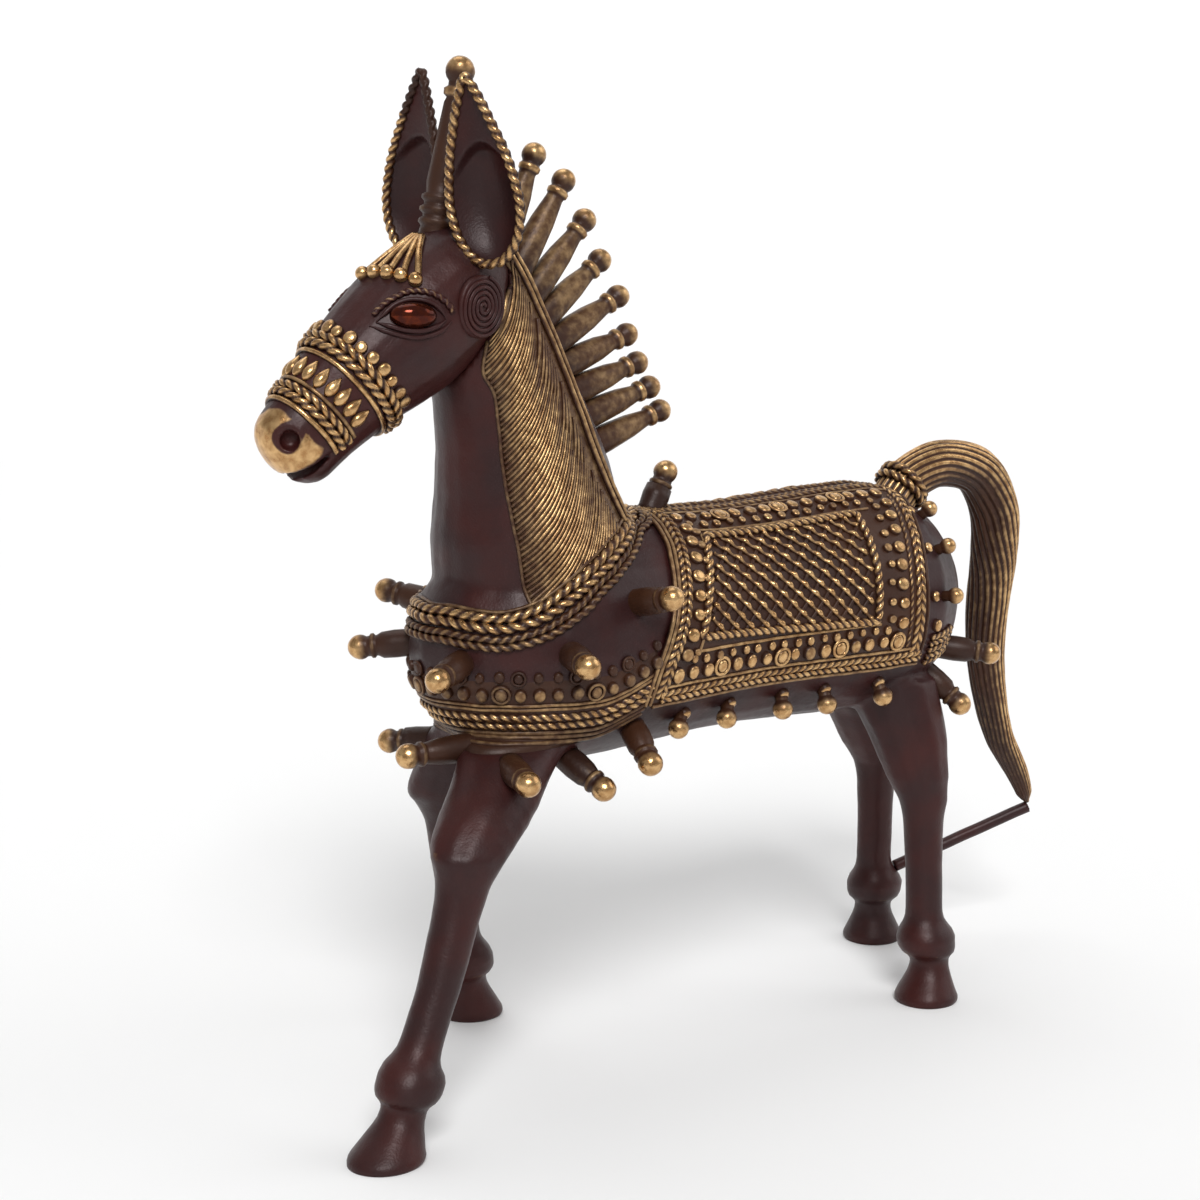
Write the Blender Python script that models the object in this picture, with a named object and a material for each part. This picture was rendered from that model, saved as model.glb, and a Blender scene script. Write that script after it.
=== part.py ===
"""Cast brass horse with laid-on ornament: each separately formed piece is its own closed body, in metres."""

import math

import bmesh
import bpy
import numpy as np
from mathutils import Matrix, Vector

MM = 0.001
FULL_TURN = 2 * math.pi

# Fits
SEAT_GAP = 0.3 * MM  # between a piece and what it sits on
ROOT_DEPTH = 4 * MM  # how far a root reaches below its seat before the seat is cut from it

# Fineness of the round forms
BODY_SIDES = 28
NECK_SIDES = 24
LEG_SIDES = 12
PEG_SIDES = 7
RIM_SIDES = 6
TORSO_RINGS = 8  # between the rounded ends
NECK_RINGS = 9
HEAD_RINGS = 8
TAIL_RINGS = 18
AT_STATIONS = 0  # rings at the stations instead of evenly
END_RINGS = 5  # rings round a rounded end
BALL_RINGS = 4
EYE_RINGS = 6
EYE_SIDES = 12
CHEEK_SIDES = 14
EAR_STEPS = 9  # along an ear
EAR_STEPS_ACROSS = 6
FINE_STEP = 0.002  # share of a spine's length over which its direction is read
FINE_TURN = 0.02  # radians over which the surface's slope is read

# Torso along X, chest towards -X
TORSO_LENGTH = 205 * MM
TORSO_HEIGHT = 71 * MM
TORSO_WIDTH = 67 * MM
TORSO_MIDDLE = 131 * MM  # height of its middle above the floor
CHEST_ROUND = 44 * MM
RUMP_ROUND = 38 * MM
CHEST_X = -TORSO_LENGTH / 2  # the fore parts are placed from here
RUMP_X = TORSO_LENGTH / 2  # the hind parts are placed from here
# place along the length, share of the height, share of the width
TORSO_SHAPE = ((0, 1.00, 0.98), (0.22, 1.04, 1.04), (0.50, 0.96, 0.97), (0.80, 1.02, 1.03), (1, 1.00, 0.98))

# Neck, from inside the torso up into the head
# X behind the chest's end and Z of the middle, half-depth, half-width
NECK_STATIONS = (
    (43.5 * MM, 138 * MM, 35 * MM, 29 * MM),
    (38 * MM, 159 * MM, 30.5 * MM, 28 * MM),
    (35.3 * MM, 180 * MM, 26.8 * MM, 24 * MM),
    (26.5 * MM, 212 * MM, 20 * MM, 18 * MM),
    (16.5 * MM, 238 * MM, 17 * MM, 15 * MM),
    (10.5 * MM, 248 * MM, 15 * MM, 13 * MM),
)

# Head: straight, nose down, hung from the back of the skull and measured from the nose
SKULL_X = CHEST_X + 22.7 * MM
SKULL_Z = 250.8 * MM
HEAD_PITCH = math.radians(40)
HEAD_LENGTH = 93 * MM
NOSE_ROUND = 8 * MM
SKULL_ROUND = 20 * MM
# distance from the nose, rise of the middle, half-depth, half-width
HEAD_STATIONS = (
    (0, -2.5 * MM, 12 * MM, 10.5 * MM),
    (14 * MM, -1.5 * MM, 13 * MM, 11.5 * MM),
    (36 * MM, -1 * MM, 16.5 * MM, 15.5 * MM),
    (HEAD_LENGTH - 36 * MM, -2.5 * MM, 19.5 * MM, 19 * MM),
    (HEAD_LENGTH - 17 * MM, -3 * MM, 18 * MM, 18.5 * MM),
    (HEAD_LENGTH, -2.5 * MM, 16 * MM, 17 * MM),
)

MOUTH_LENGTH = 17 * MM
MOUTH_OPENING = 4.4 * MM  # at the lips
MOUTH_DROP = 7 * MM  # below the middle of the head
NOSTRIL_RADIUS = 3 * MM
NOSTRIL_ALONG = 5 * MM
NOSTRIL_ANGLE = math.radians(62)

# Ears: leaves that stand on the skull, each turned outwards by its own angle
EAR_LENGTH = 48 * MM
EAR_RAISE = 4 * MM  # of its lowest point above its place on the skull
EAR_STAND_OFF = 2.5 * MM  # of its lowest point, outwards from the skull
EAR_HALF_WIDTH = 10.5 * MM
EAR_CUP = 7 * MM
EAR_THICKNESS = 2.2 * MM
EAR_ALONG = HEAD_LENGTH - 16 * MM  # distance of the ear's foot from the nose
EAR_ANGLE = math.radians(75)  # from the top of the head
EAR_LEAN = math.radians(6)  # of the tip towards the middle
EAR_TURN_LEFT = math.radians(27)
EAR_TURN_RIGHT = math.radians(-3)
EAR_RIM_RADIUS = 1.3 * MM
EAR_SKEW = 0.6  # below 1 the ear is widest below the middle
EAR_FULLNESS = 0.9  # below 1 its sides bulge more

# Head ornament
CREST_ALONG = HEAD_LENGTH - 10 * MM
CREST_LENGTH = 48.5 * MM
CREST_LEAN = math.radians(11)  # backwards from upright
CREST_ROOT_RADIUS = 4 * MM
CREST_TIP_RADIUS = 2.4 * MM
CREST_BALL_RADIUS = 4.2 * MM
CREST_RINGS = 3  # wound round its foot
CREST_RING_HEIGHT = 1.2 * MM
CREST_SHAFT_RADIUS = 3.6 * MM  # above the rings
FAN_STRIPS = 5
FAN_TOP_ALONG = HEAD_LENGTH - 20 * MM
FAN_BALL_ALONG = HEAD_LENGTH - 36 * MM
FAN_SPREAD = math.radians(58)  # between the balls of the outer strips
FAN_TOP_SPREAD = math.radians(17)  # between the tops of the outer strips
FAN_STRIP_RADIUS = 1.1 * MM
FAN_BALL_RADIUS = 2.0 * MM
EYE_ALONG = 0.56 * HEAD_LENGTH
EYE_ANGLE = math.radians(63)
EYE_LINE = (1, 0, -0.1)  # direction of its corners
EYE_LENGTH = 14 * MM
EYE_HEIGHT = 8 * MM
EYE_DEPTH = 6 * MM
CHEEK_ALONG = HEAD_LENGTH - 23 * MM
CHEEK_ANGLE = math.radians(98)
CHEEK_RADIUS = 6.5 * MM
CHEEK_THICKNESS = 1.6 * MM
CHEEK_EDGE = 1 * MM  # height of its upright side
CHEEK_TOP_RADIUS = 5.2 * MM
NOSEBAND_THICKNESS = 1.6 * MM
NOSEBAND_UPPER = (0.30 * HEAD_LENGTH, 0.41 * HEAD_LENGTH)  # from and to, measured from the nose
NOSEBAND_LOWER = (0.13 * HEAD_LENGTH, 0.205 * HEAD_LENGTH)

# Legs: heights above the floor and radii
HOOF_RADIUS = 11 * MM
HOOF_HEIGHT = 10 * MM
HOOF_TOP_RADIUS = 8 * MM
PASTERN_RADIUS = 6.8 * MM
PASTERN_HEIGHT = 16 * MM
FETLOCK_RADIUS = 9 * MM
FETLOCK_HEIGHT = 23.5 * MM
CANNON_RADIUS = 6.7 * MM
CANNON_HEIGHT = 31 * MM
KNEE_RADIUS = 9.4 * MM
KNEE_HEIGHT = 80 * MM
HOCK_RADIUS = 8.6 * MM
HOCK_HEIGHT = 66 * MM
FORELEG_TOP_RADIUS = 13 * MM
HINDLEG_TOP_RADIUS = 16 * MM
LEG_TOP_INSET = 13 * MM  # of the top's middle from the plane of symmetry
# X of the top; X and Y of the joint; X and Y of the hoof
# X is measured from the chest's end for the forelegs and from the rump's end for the hind legs
FRONT_LEFT_STANCE = (24.5 * MM, (-5 * MM, -31 * MM), (-38.5 * MM, -40 * MM))
FRONT_RIGHT_STANCE = (26.5 * MM, (26.5 * MM, 30 * MM), (46 * MM, 46 * MM))
HIND_LEFT_STANCE = (-32.5 * MM, (-28.5 * MM, -27 * MM), (-32.5 * MM, -34 * MM))
HIND_RIGHT_STANCE = (-26.5 * MM, (-3 * MM, 22 * MM), (-0.5 * MM, 25 * MM))

# Tail: X behind the rump's end and Z of its middle line with its radius, from the rump to the tip
TAIL_STATIONS = (
    (-20.5 * MM, 160 * MM, 7.5 * MM),
    (-12.5 * MM, 167.5 * MM, 7.6 * MM),
    (1.5 * MM, 172 * MM, 7.9 * MM),
    (19.5 * MM, 168.5 * MM, 8.4 * MM),
    (29 * MM, 155 * MM, 8.7 * MM),
    (29.8 * MM, 138.5 * MM, 8.2 * MM),
    (27 * MM, 118 * MM, 7.3 * MM),
    (27.8 * MM, 98 * MM, 6.4 * MM),
    (33.8 * MM, 76 * MM, 5.2 * MM),
    (44.5 * MM, 59 * MM, 4.0 * MM),
    (50.5 * MM, 47 * MM, 2.3 * MM),
)
TAIL_FLUTES = 10
TAIL_FLUTE_DEPTH = 0.1  # share of the radius
TAIL_RING_FROM = 9 * MM
TAIL_RING_WIDTH = 5 * MM
TAIL_RING_THICKNESS = 1.8 * MM
BRACE_RADIUS = 2.1 * MM
BRACE_LEG_HEIGHT = 24 * MM

# Pegs and spikes: turned, with a collar and a ball
PEG_LENGTH = 19 * MM
PEG_ROOT_RADIUS = 3.8 * MM
PEG_TIP_RADIUS = 2.3 * MM
PEG_BALL_RADIUS = 3.5 * MM
COLLAR_DROP = 1.6  # of a peg's collar below the middle of its ball, in ball radii
COLLAR_SPREAD = 0.9  # radius of a peg's collar, in ball radii
COLLAR_HEIGHT = 0.4  # in ball radii
COLLAR_FLARE = 0.3  # height over which the shaft widens to the collar, in ball radii
BALL_NECK = math.radians(40)  # where a ball starts above its lowest point when a shaft runs into it
BALL_START = math.radians(15)  # where a free ball starts
BALL_END = math.radians(160)  # where every ball is cut flat
SPIKE_LENGTH = 31 * MM
SPIKE_ROOT_RADIUS = 4.2 * MM
SPIKE_COUNT = 9
SPIKE_FIRST_PLACE = 0.93  # share of the neck's length
SPIKE_LAST_PLACE = 0.40
SPIKE_FIRST_RISE = math.radians(66)
SPIKE_LAST_RISE = math.radians(16)
# name, degrees it hangs below square to the torso, then for the left and the right one: distance along the torso,
# degrees down from the top
PEG_PAIRS = (
    ("shoulder_peg", 9, (54 * MM, 67), (54 * MM, 67)),
    ("breast_side_peg", 6, (29.1 * MM, 87), (20 * MM, 71)),
    ("breast_front_peg", 6, (4 * MM, 94), (7.5 * MM, 90)),
    ("rump_side_peg", -8, (TORSO_LENGTH - 22 * MM, 140), (TORSO_LENGTH - 24.6 * MM, 130)),
    ("rump_rear_peg", -20, (TORSO_LENGTH - 12.5 * MM, 130), (TORSO_LENGTH - 12.5 * MM, 130)),
)
# name, direction of the left one, distance along the torso, degrees down from the top
LOW_PEG_PAIRS = (
    ("elbow_peg", (0, -0.9, -0.42), 41 * MM, 145),
    ("girth_peg", (-0.2, -0.85, -0.48), 56.5 * MM, 133),
)
# Pegs high on the forelegs: name, leg, distance down it, degrees round it from its front to the right, direction
FORELEG_PEGS = (
    ("foreleg_peg", "leg_front_left", 4 * MM, 35, (-1, 0.15, 0.05)),
    ("chest_peg_left", "leg_front_left", 8 * MM, -68, (-0.34, -0.93, 0.06)),
    ("chest_peg_right", "leg_front_right", 8 * MM, 50, (-0.68, 0.6, -0.05)),
)
FORELEG_PEG_SINK = 2 * MM  # of a foot into the leg, before it is seated
WITHERS_PEG_ALONG = 84 * MM
WITHERS_PEG_LEAN = math.radians(27)
WITHERS_PEG_LENGTH = 17 * MM

# Mane: the striped field's outline seen from the side, X behind the chest's end and Z, in millimetres
MANE_THICKNESS = 1.4 * MM
MANE_PARTING = 10.6 * MM  # kept free for the spikes
MANE_FRONT_EDGE = ((10.5, 221), (12.5, 204), (14.5, 177), (17.5, 150))
MANE_REAR_EDGE = ((62.5, 165), (77.5, 186), (40.5, 252), (16.5, 246))

# Harness
COLLAR_THICKNESS = 2.4 * MM
COLLAR_WIDTH = 9 * MM
COLLAR_TILT = math.radians(18)  # up towards the withers
COLLAR_X = CHEST_X + 37.5 * MM
COLLAR_Z = 155 * MM
COLLAR_REAR_REACH = 41 * MM  # from its middle up to the withers
BAND_THICKNESS = 2.2 * MM
BAND_LOW = 106 * MM
BAND_HIGH = 118 * MM
BAND_END = CHEST_X + 52.5 * MM
BLANKET_THICKNESS = 1.6 * MM
BLANKET_LOW = 113 * MM
BLANKET_FROM = CHEST_X + 59.5 * MM  # its lower edge, along X
BLANKET_TO = RUMP_X - 36.5 * MM
BLANKET_CORNER = (-4 * MM, 6 * MM)  # run and rise of its cut front corner
BLANKET_FRONT_EDGE = ((76.5, 190), (73.5, 160))  # X from the chest's end and Z, in millimetres
BLANKET_REAR_EDGE = ((-34.5, 140), (-25.5, 160), (-25.5, 190))  # X from the rump's end
PANEL_THICKNESS = 1.8 * MM
PANEL_RECESS = 1.0 * MM
PANEL_FRAME = 4 * MM
PANEL_REAR_EDGE = ((-56.5, 160), (-59.5, 130))
PANEL_FRONT_EDGE = ((74.5, 133), (87.5, 159))
FRINGE_THICKNESS = 1.6 * MM
FRINGE_WIDTH = 5 * MM
FRINGE_FROM = CHEST_X + 66.5 * MM
FRINGE_TO = RUMP_X - 50.5 * MM
FRINGE_KNOBS = 5
FRINGE_ANGLE = math.radians(130)
REAR_FRINGE_KNOBS = 3
REAR_FRINGE_FROM = math.radians(38)
REAR_FRINGE_TO = math.radians(100)
KNOB_RADIUS = 3.5 * MM
KNOB_RISE = 1 * MM  # of a knob's middle above its strip
KNOB_PLACE = 0.6  # of a knob in its share of the strip

# Finish
PATINA = ("patina_brass", (0.045, 0.018, 0.015, 1), 0.42)
BRIGHT = ("bright_brass", (0.62, 0.40, 0.15, 1), 0.33)
COPPER = ("copper_red_brass", (0.32, 0.09, 0.04, 1), 0.25)


class Sweep:
    """A smooth body: sections square to a spine, each with its own half-height and half-width."""

    def __init__(self, stations, start_round=0.0, end_round=0.0, flutes=0, flute_depth=0.0, level=False):
        self.rows = np.array([(*centre, high, wide) for centre, high, wide in stations])
        steps = np.linalg.norm(np.diff(self.rows[:, :3], axis=0), axis=1)
        self.places = np.concatenate(([0.0], np.cumsum(steps)))
        self.length = self.places[-1]
        self.start_round = start_round
        self.end_round = end_round
        self.flutes = flutes
        self.flute_depth = flute_depth
        self.level = level  # sections stay horizontal
        self.slopes = np.gradient(self.rows, self.places, axis=0)

    def row(self, along):
        """Centre, half-height and half-width at a distance along the spine, eased between stations."""
        index = int(np.clip(np.searchsorted(self.places, along) - 1, 0, len(self.places) - 2))
        span = self.places[index + 1] - self.places[index]
        u = (along - self.places[index]) / span
        ends = self.rows[index] * (1 + 2 * u) * (1 - u) ** 2 + self.rows[index + 1] * u * u * (3 - 2 * u)
        lean = self.slopes[index] * u * (1 - u) ** 2 - self.slopes[index + 1] * u * u * (1 - u)
        return [float(value) for value in ends + span * lean]

    def axes(self, along):
        """Tangent, up and side directions of the section at a distance along the spine."""
        if self.level:
            return Vector((0, 0, 1)), Vector((-1, 0, 0)), Vector((0, 1, 0))
        step = self.length * FINE_STEP
        ahead = Vector(self.row(min(along + step, self.length))[:3])
        tangent = (ahead - Vector(self.row(max(along - step, 0))[:3])).normalized()
        side = Vector((0, 1, 0))
        side = (side - tangent * side.dot(tangent)).normalized()
        return tangent, tangent.cross(side), side

    def fullness(self, along):
        """Share of the section left by the rounded ends."""
        share = 1.0
        for reach, size in ((along, self.start_round), (self.length - along, self.end_round)):
            if reach < size:
                share *= math.sqrt(max(0.0, 1 - (1 - reach / size) ** 2))
        return share

    def bare_point(self, along, angle):
        """Point of the surface; the angle is measured from up towards the side direction."""
        row = self.row(along)
        _, up, side = self.axes(along)
        share = self.fullness(along) * (1 + self.flute_depth * math.cos(self.flutes * angle))
        return Vector(row[:3]) + share * (row[3] * math.cos(angle) * up + row[4] * math.sin(angle) * side)

    def normal(self, along, angle):
        """Outward direction of the surface."""
        step = self.length * FINE_STEP
        low = max(along - step, step * FINE_STEP)
        high = min(along + step, self.length - step * FINE_STEP)
        run = self.bare_point(high, angle) - self.bare_point(low, angle)
        turn = self.bare_point(along, angle + FINE_TURN) - self.bare_point(along, angle - FINE_TURN)
        if turn.length < step * FINE_TURN:
            tangent = self.axes(along)[0]
            return -tangent if along < self.length / 2 else tangent
        return run.cross(turn).normalized()

    def point(self, along, angle, lift=0.0):
        """Point of the surface, lifted off it along its normal."""
        spot = self.bare_point(along, angle)
        return spot + lift * self.normal(along, angle) if lift else spot

    def ring_places(self, rings):
        """Distances of the rings: even along the middle, along an arc at each rounded end.

        For AT_STATIONS there is a ring at every station and halfway between stations."""
        if rings == AT_STATIONS:
            halves = (self.places[:-1] + self.places[1:]) / 2
            return sorted([*self.places, *halves])
        arc = [1 - math.cos(math.pi / 2 * k / END_RINGS) for k in range(1, END_RINGS)]
        start = [self.start_round * share for share in arc] if self.start_round else []
        end = [self.length - self.end_round * share for share in reversed(arc)] if self.end_round else []
        return start + list(np.linspace(self.start_round, self.length - self.end_round, rings)) + end

    def ring(self, name, start, stop, inner, outer, sides):
        """Closed ring round the body between two distances and two lifts."""
        mesh = bmesh.new()
        loops = []
        for along, lift in ((start, inner), (start, outer), (stop, outer), (stop, inner)):
            spots = [self.point(along, FULL_TURN * k / sides, lift) for k in range(sides)]
            loops.append([mesh.verts.new(spot) for spot in spots])
        join_rings(mesh, loops + loops[:1])
        return finished(name, mesh)

    def body(self, name, rings, sides, lift=0.0):
        """Closed body of the surface at a lift: rounded ends meet in a point, other ends are flat."""
        mesh = bmesh.new()
        angles = [FULL_TURN * k / sides for k in range(sides)]
        loops = []
        for along in self.ring_places(rings):
            loops.append([mesh.verts.new(self.point(along, angle, lift)) for angle in angles])
        join_rings(mesh, loops)
        ends = ((loops[0], 0, self.start_round), (loops[-1], self.length, self.end_round))
        for loop, along, rounded in ends:
            if rounded:
                tip = mesh.verts.new(self.point(along, 0, lift))
                for a, b in zip(loop, loop[1:] + loop[:1]):
                    mesh.faces.new((a, b, tip))
            else:
                mesh.faces.new(loop)
        return finished(name, mesh)


def join_rings(mesh, loops):
    """Faces between each ring of vertices and the next."""
    for lower, upper in zip(loops, loops[1:]):
        for k in range(len(lower)):
            n = (k + 1) % len(lower)
            mesh.faces.new((lower[k], lower[n], upper[n], upper[k]))


def finished(name, mesh):
    """Object of a finished mesh, its faces turned outwards."""
    bmesh.ops.recalc_face_normals(mesh, faces=mesh.faces[:])
    data = bpy.data.meshes.new(name)
    mesh.to_mesh(data)
    mesh.free()
    piece = bpy.data.objects.new(name, data)
    bpy.context.scene.collection.objects.link(piece)
    return piece


def tool(piece):
    """Marks a body as a cutting tool only."""
    piece.hide_render = True
    piece.display_type = "WIRE"
    return piece


def fit(piece, operation, *tools):
    """Boolean of the piece with each tool in turn."""
    for other in tools:
        modifier = piece.modifiers.new(other.name, "BOOLEAN")
        modifier.operation = operation
        modifier.solver = "EXACT"
        modifier.object = other
    return piece


def turned(name, profile, sides=PEG_SIDES):
    """Body of revolution about its own Z from (radius, height) pairs; both ends meet on the axis."""
    mesh = bmesh.new()
    loops = []
    for radius, height in profile:
        angles = [FULL_TURN * k / sides for k in range(sides)]
        loops.append([mesh.verts.new((radius * math.cos(a), radius * math.sin(a), height)) for a in angles])
    join_rings(mesh, loops)
    mesh.faces.new(loops[0])
    mesh.faces.new(loops[-1])
    return finished(name, mesh)


def ball_profile(radius, middle, start, rings=BALL_RINGS):
    """Half-circle profile of a ball about a middle height, from a start angle above its lowest point."""
    turns = np.linspace(start, BALL_END, rings)
    return [(radius * math.sin(t), middle - radius * math.cos(t)) for t in turns]


def peg_profile(length, root_radius, tip_radius, ball_radius):
    """Profile of a peg: tapering shaft, collar, ball."""
    ball = length - ball_radius
    collar = ball - COLLAR_DROP * ball_radius
    shaft = [(root_radius, -ROOT_DEPTH), (tip_radius, collar - COLLAR_FLARE * ball_radius)]
    spread = COLLAR_SPREAD * ball_radius
    ring = [(spread, collar), (spread, collar + COLLAR_HEIGHT * ball_radius)]
    return shaft + ring + ball_profile(ball_radius, ball, BALL_NECK)


def aim(piece, spot, direction, across=None):
    """Stands a piece on a spot with its Z along a direction, its X as near as can be to another."""
    z = direction.normalized()
    x = Vector(across) if across else z.orthogonal()
    y = z.cross(x).normalized()
    x = y.cross(z)
    piece.matrix_world = Matrix.Translation(spot) @ Matrix((x, y, z)).transposed().to_4x4()
    return piece


def prism(name, outline, near, far):
    """Block with an outline in X and Z, between two Y."""
    mesh = bmesh.new()
    loops = [[mesh.verts.new((x, y, z)) for x, z in outline] for y in (near, far)]
    join_rings(mesh, loops)
    mesh.faces.new(loops[0])
    mesh.faces.new(loops[1])
    return tool(finished(name, mesh))


def placed(points, end):
    """Points given in millimetres from one end of the torso, in metres from the middle."""
    return [(end + x * MM, z * MM) for x, z in points]


def seat_of(sweep, along, angle):
    """Point of a surface and its outward direction there."""
    return sweep.point(along, angle), sweep.normal(along, angle)


def shrunk(outline, inset):
    """Four-cornered outline with its corners pulled towards the middle by an inset each way."""
    middle_x = sum(x for x, _ in outline) / len(outline)
    middle_z = sum(z for _, z in outline) / len(outline)
    corners = []
    for x, z in outline:
        corners.append((x - math.copysign(inset, x - middle_x), z - math.copysign(inset, z - middle_z)))
    return corners


def torso_sweep():
    """The barrel of the body."""
    stations = []
    for share, high, wide in TORSO_SHAPE:
        centre = ((share - 0.5) * TORSO_LENGTH, 0, TORSO_MIDDLE)
        stations.append((centre, high * TORSO_HEIGHT / 2, wide * TORSO_WIDTH / 2))
    return Sweep(stations, CHEST_ROUND, RUMP_ROUND)


def neck_sweep():
    """The neck, from inside the torso up into the head."""
    return Sweep([((CHEST_X + x, 0, z), deep, wide) for x, z, deep, wide in NECK_STATIONS])


def head_frame():
    """Tip of the nose, and the directions from it to the skull and out of the top of the head."""
    back = Vector((math.cos(HEAD_PITCH), 0, math.sin(HEAD_PITCH)))
    return Vector((SKULL_X, 0, SKULL_Z)) - HEAD_LENGTH * back, back, Vector((-back.z, 0, back.x))


def head_sweep():
    """The head, from the nose back to the skull."""
    nose, back, up = head_frame()
    stations = [(nose + along * back + rise * up, deep, wide) for along, rise, deep, wide in HEAD_STATIONS]
    return Sweep(stations, NOSE_ROUND, SKULL_ROUND)


def leg_sweep(end, stance, side, joint_height, joint_radius, top_radius):
    """A leg from the sole up, placed from one end of the torso, with sections made deeper where it slants."""
    top_x, joint, hoof = stance
    top_height = BAND_LOW - SEAT_GAP
    turns = ((0, hoof), (joint_height, joint), (top_height, (top_x, side * LEG_TOP_INSET)))
    radii = (
        (0, HOOF_RADIUS),
        (HOOF_HEIGHT, HOOF_TOP_RADIUS),
        (PASTERN_HEIGHT, PASTERN_RADIUS),
        (FETLOCK_HEIGHT, FETLOCK_RADIUS),
        (CANNON_HEIGHT, CANNON_RADIUS),
        (joint_height - joint_radius, CANNON_RADIUS),
        (joint_height, joint_radius),
        (top_height, top_radius),
    )
    stations = []
    for height, radius in radii:
        (low, start), (high, stop) = turns[:2] if height <= joint_height else turns[1:]
        share = (height - low) / (high - low)
        x = end + start[0] + share * (stop[0] - start[0])
        y = start[1] + share * (stop[1] - start[1])
        slope = (stop[0] - start[0]) / (high - low)
        stations.append(((x, y, height), radius * math.sqrt(1 + slope * slope), radius))
    return Sweep(stations, level=True)


def tail_sweep(flute_depth):
    """The tail, fluted to a share of its radius."""
    stations = [((RUMP_X + x, 0, z), radius, radius) for x, z, radius in TAIL_STATIONS]
    return Sweep(stations, flutes=TAIL_FLUTES, flute_depth=flute_depth)


def make_tail_ring():
    """Plain ring that clears the crests of the flutes at the root of the tail."""
    root_radius = TAIL_STATIONS[0][2]
    inner = TAIL_FLUTE_DEPTH * root_radius + SEAT_GAP
    outer = inner + TAIL_RING_THICKNESS
    stop = TAIL_RING_FROM + TAIL_RING_WIDTH
    return tail_sweep(0).ring("tail_ring", TAIL_RING_FROM, stop, inner, outer, 2 * TAIL_FLUTES)


def coat(piece, finish):
    """Gives a piece its metal."""
    name, colour, roughness = finish
    metal = bpy.data.materials.get(name)
    if metal is None:
        metal = bpy.data.materials.new(name)
        metal.use_nodes = True
        shader = metal.node_tree.nodes["Principled BSDF"]
        shader.inputs["Base Color"].default_value = colour
        shader.inputs["Roughness"].default_value = roughness
        shader.inputs["Metallic"].default_value = 1.0
        metal.diffuse_color = colour
    piece.data.materials.append(metal)


def make_head(head, head_piece):
    """Opens the mouth and the nostrils in the head."""
    nose, back, up = head_frame()
    corners = ((0, -MOUTH_OPENING / 2), (-NOSE_ROUND, 0), (0, MOUTH_OPENING / 2), (MOUTH_LENGTH, 0))
    spots = [nose + along * back + (rise - MOUTH_DROP) * up for along, rise in corners]
    mouth = prism("mouth_tool", [(spot.x, spot.z) for spot in spots], -TORSO_WIDTH, TORSO_WIDTH)
    fit(head_piece, "DIFFERENCE", mouth)
    for side, label in ((-1, "left"), (1, "right")):
        nostril = tool(turned(f"nostril_{label}_tool", ball_profile(NOSTRIL_RADIUS, 0, BALL_START)))
        aim(nostril, *seat_of(head, NOSTRIL_ALONG, side * NOSTRIL_ANGLE))
        fit(head_piece, "DIFFERENCE", nostril)


def ear_frame(head, side, turn):
    """Foot, length direction, facing direction and width direction of an ear."""
    foot = head.point(EAR_ALONG, side * EAR_ANGLE) + Vector((0, side * EAR_STAND_OFF, EAR_RAISE))
    length = Vector((0, -side * math.sin(EAR_LEAN), math.cos(EAR_LEAN)))
    facing = Vector((-math.cos(turn), side * math.sin(turn), 0))
    width = length.cross(facing).normalized()
    return foot, length, width.cross(length), width


def leaf_share(u):
    """Share of the leaf's half-width at a share of its length."""
    return math.sin(math.pi * u**EAR_SKEW) ** EAR_FULLNESS


def make_ear(head, label, side, turn):
    """A cupped leaf with a rope round its edge."""
    foot, length, facing, width = ear_frame(head, side, turn)
    mesh = bmesh.new()
    steps = [k / EAR_STEPS for k in range(1, EAR_STEPS)]
    across = [2 * k / EAR_STEPS_ACROSS - 1 for k in range(EAR_STEPS_ACROSS + 1)]

    def spot(u, v, back):
        half = EAR_HALF_WIDTH * leaf_share(u) if 0 < u < 1 else 0
        hollow = (EAR_CUP + back * EAR_THICKNESS) * (1 - v * v) * half / EAR_HALF_WIDTH
        return foot + u * EAR_LENGTH * length + v * half * width - hollow * facing

    bottom = mesh.verts.new(spot(0, 0, 0))
    tip = mesh.verts.new(spot(1, 0, 0))
    loops = []
    for u in steps:
        front = [mesh.verts.new(spot(u, v, 0)) for v in across]
        back = [mesh.verts.new(spot(u, v, 1)) for v in across[-2:0:-1]]
        loops.append(front + back)
    join_rings(mesh, loops)
    for loop, end in ((loops[0], bottom), (loops[-1], tip)):
        for a, b in zip(loop, loop[1:] + loop[:1]):
            mesh.faces.new((a, b, end))
    ear = finished(f"ear_{label}", mesh)
    reach = EAR_RIM_RADIUS + SEAT_GAP
    route = [spot(u, 1, 0) + reach * width for u in steps] + [spot(1, 0, 0) + 2 * reach * length]
    route += [spot(u, -1, 0) - reach * width for u in reversed(steps)] + [spot(0, 0, 0) - 2 * reach * length]
    rim = tube(f"ear_rim_{label}", route, EAR_RIM_RADIUS, facing)
    return ear, rim


def tube(name, route, radius, facing):
    """Closed loop of round bar along a route that lies about square to the facing direction."""
    mesh = bmesh.new()
    loops = []
    for k, spot in enumerate(route):
        along = (route[(k + 1) % len(route)] - route[k - 1]).normalized()
        out = along.cross(facing).normalized()
        lift = out.cross(along)
        angles = [FULL_TURN * n / RIM_SIDES for n in range(RIM_SIDES)]
        spokes = [math.cos(angle) * out + math.sin(angle) * lift for angle in angles]
        loops.append([mesh.verts.new(spot + radius * spoke) for spoke in spokes])
    join_rings(mesh, loops + loops[:1])
    return finished(name, mesh)


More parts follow.
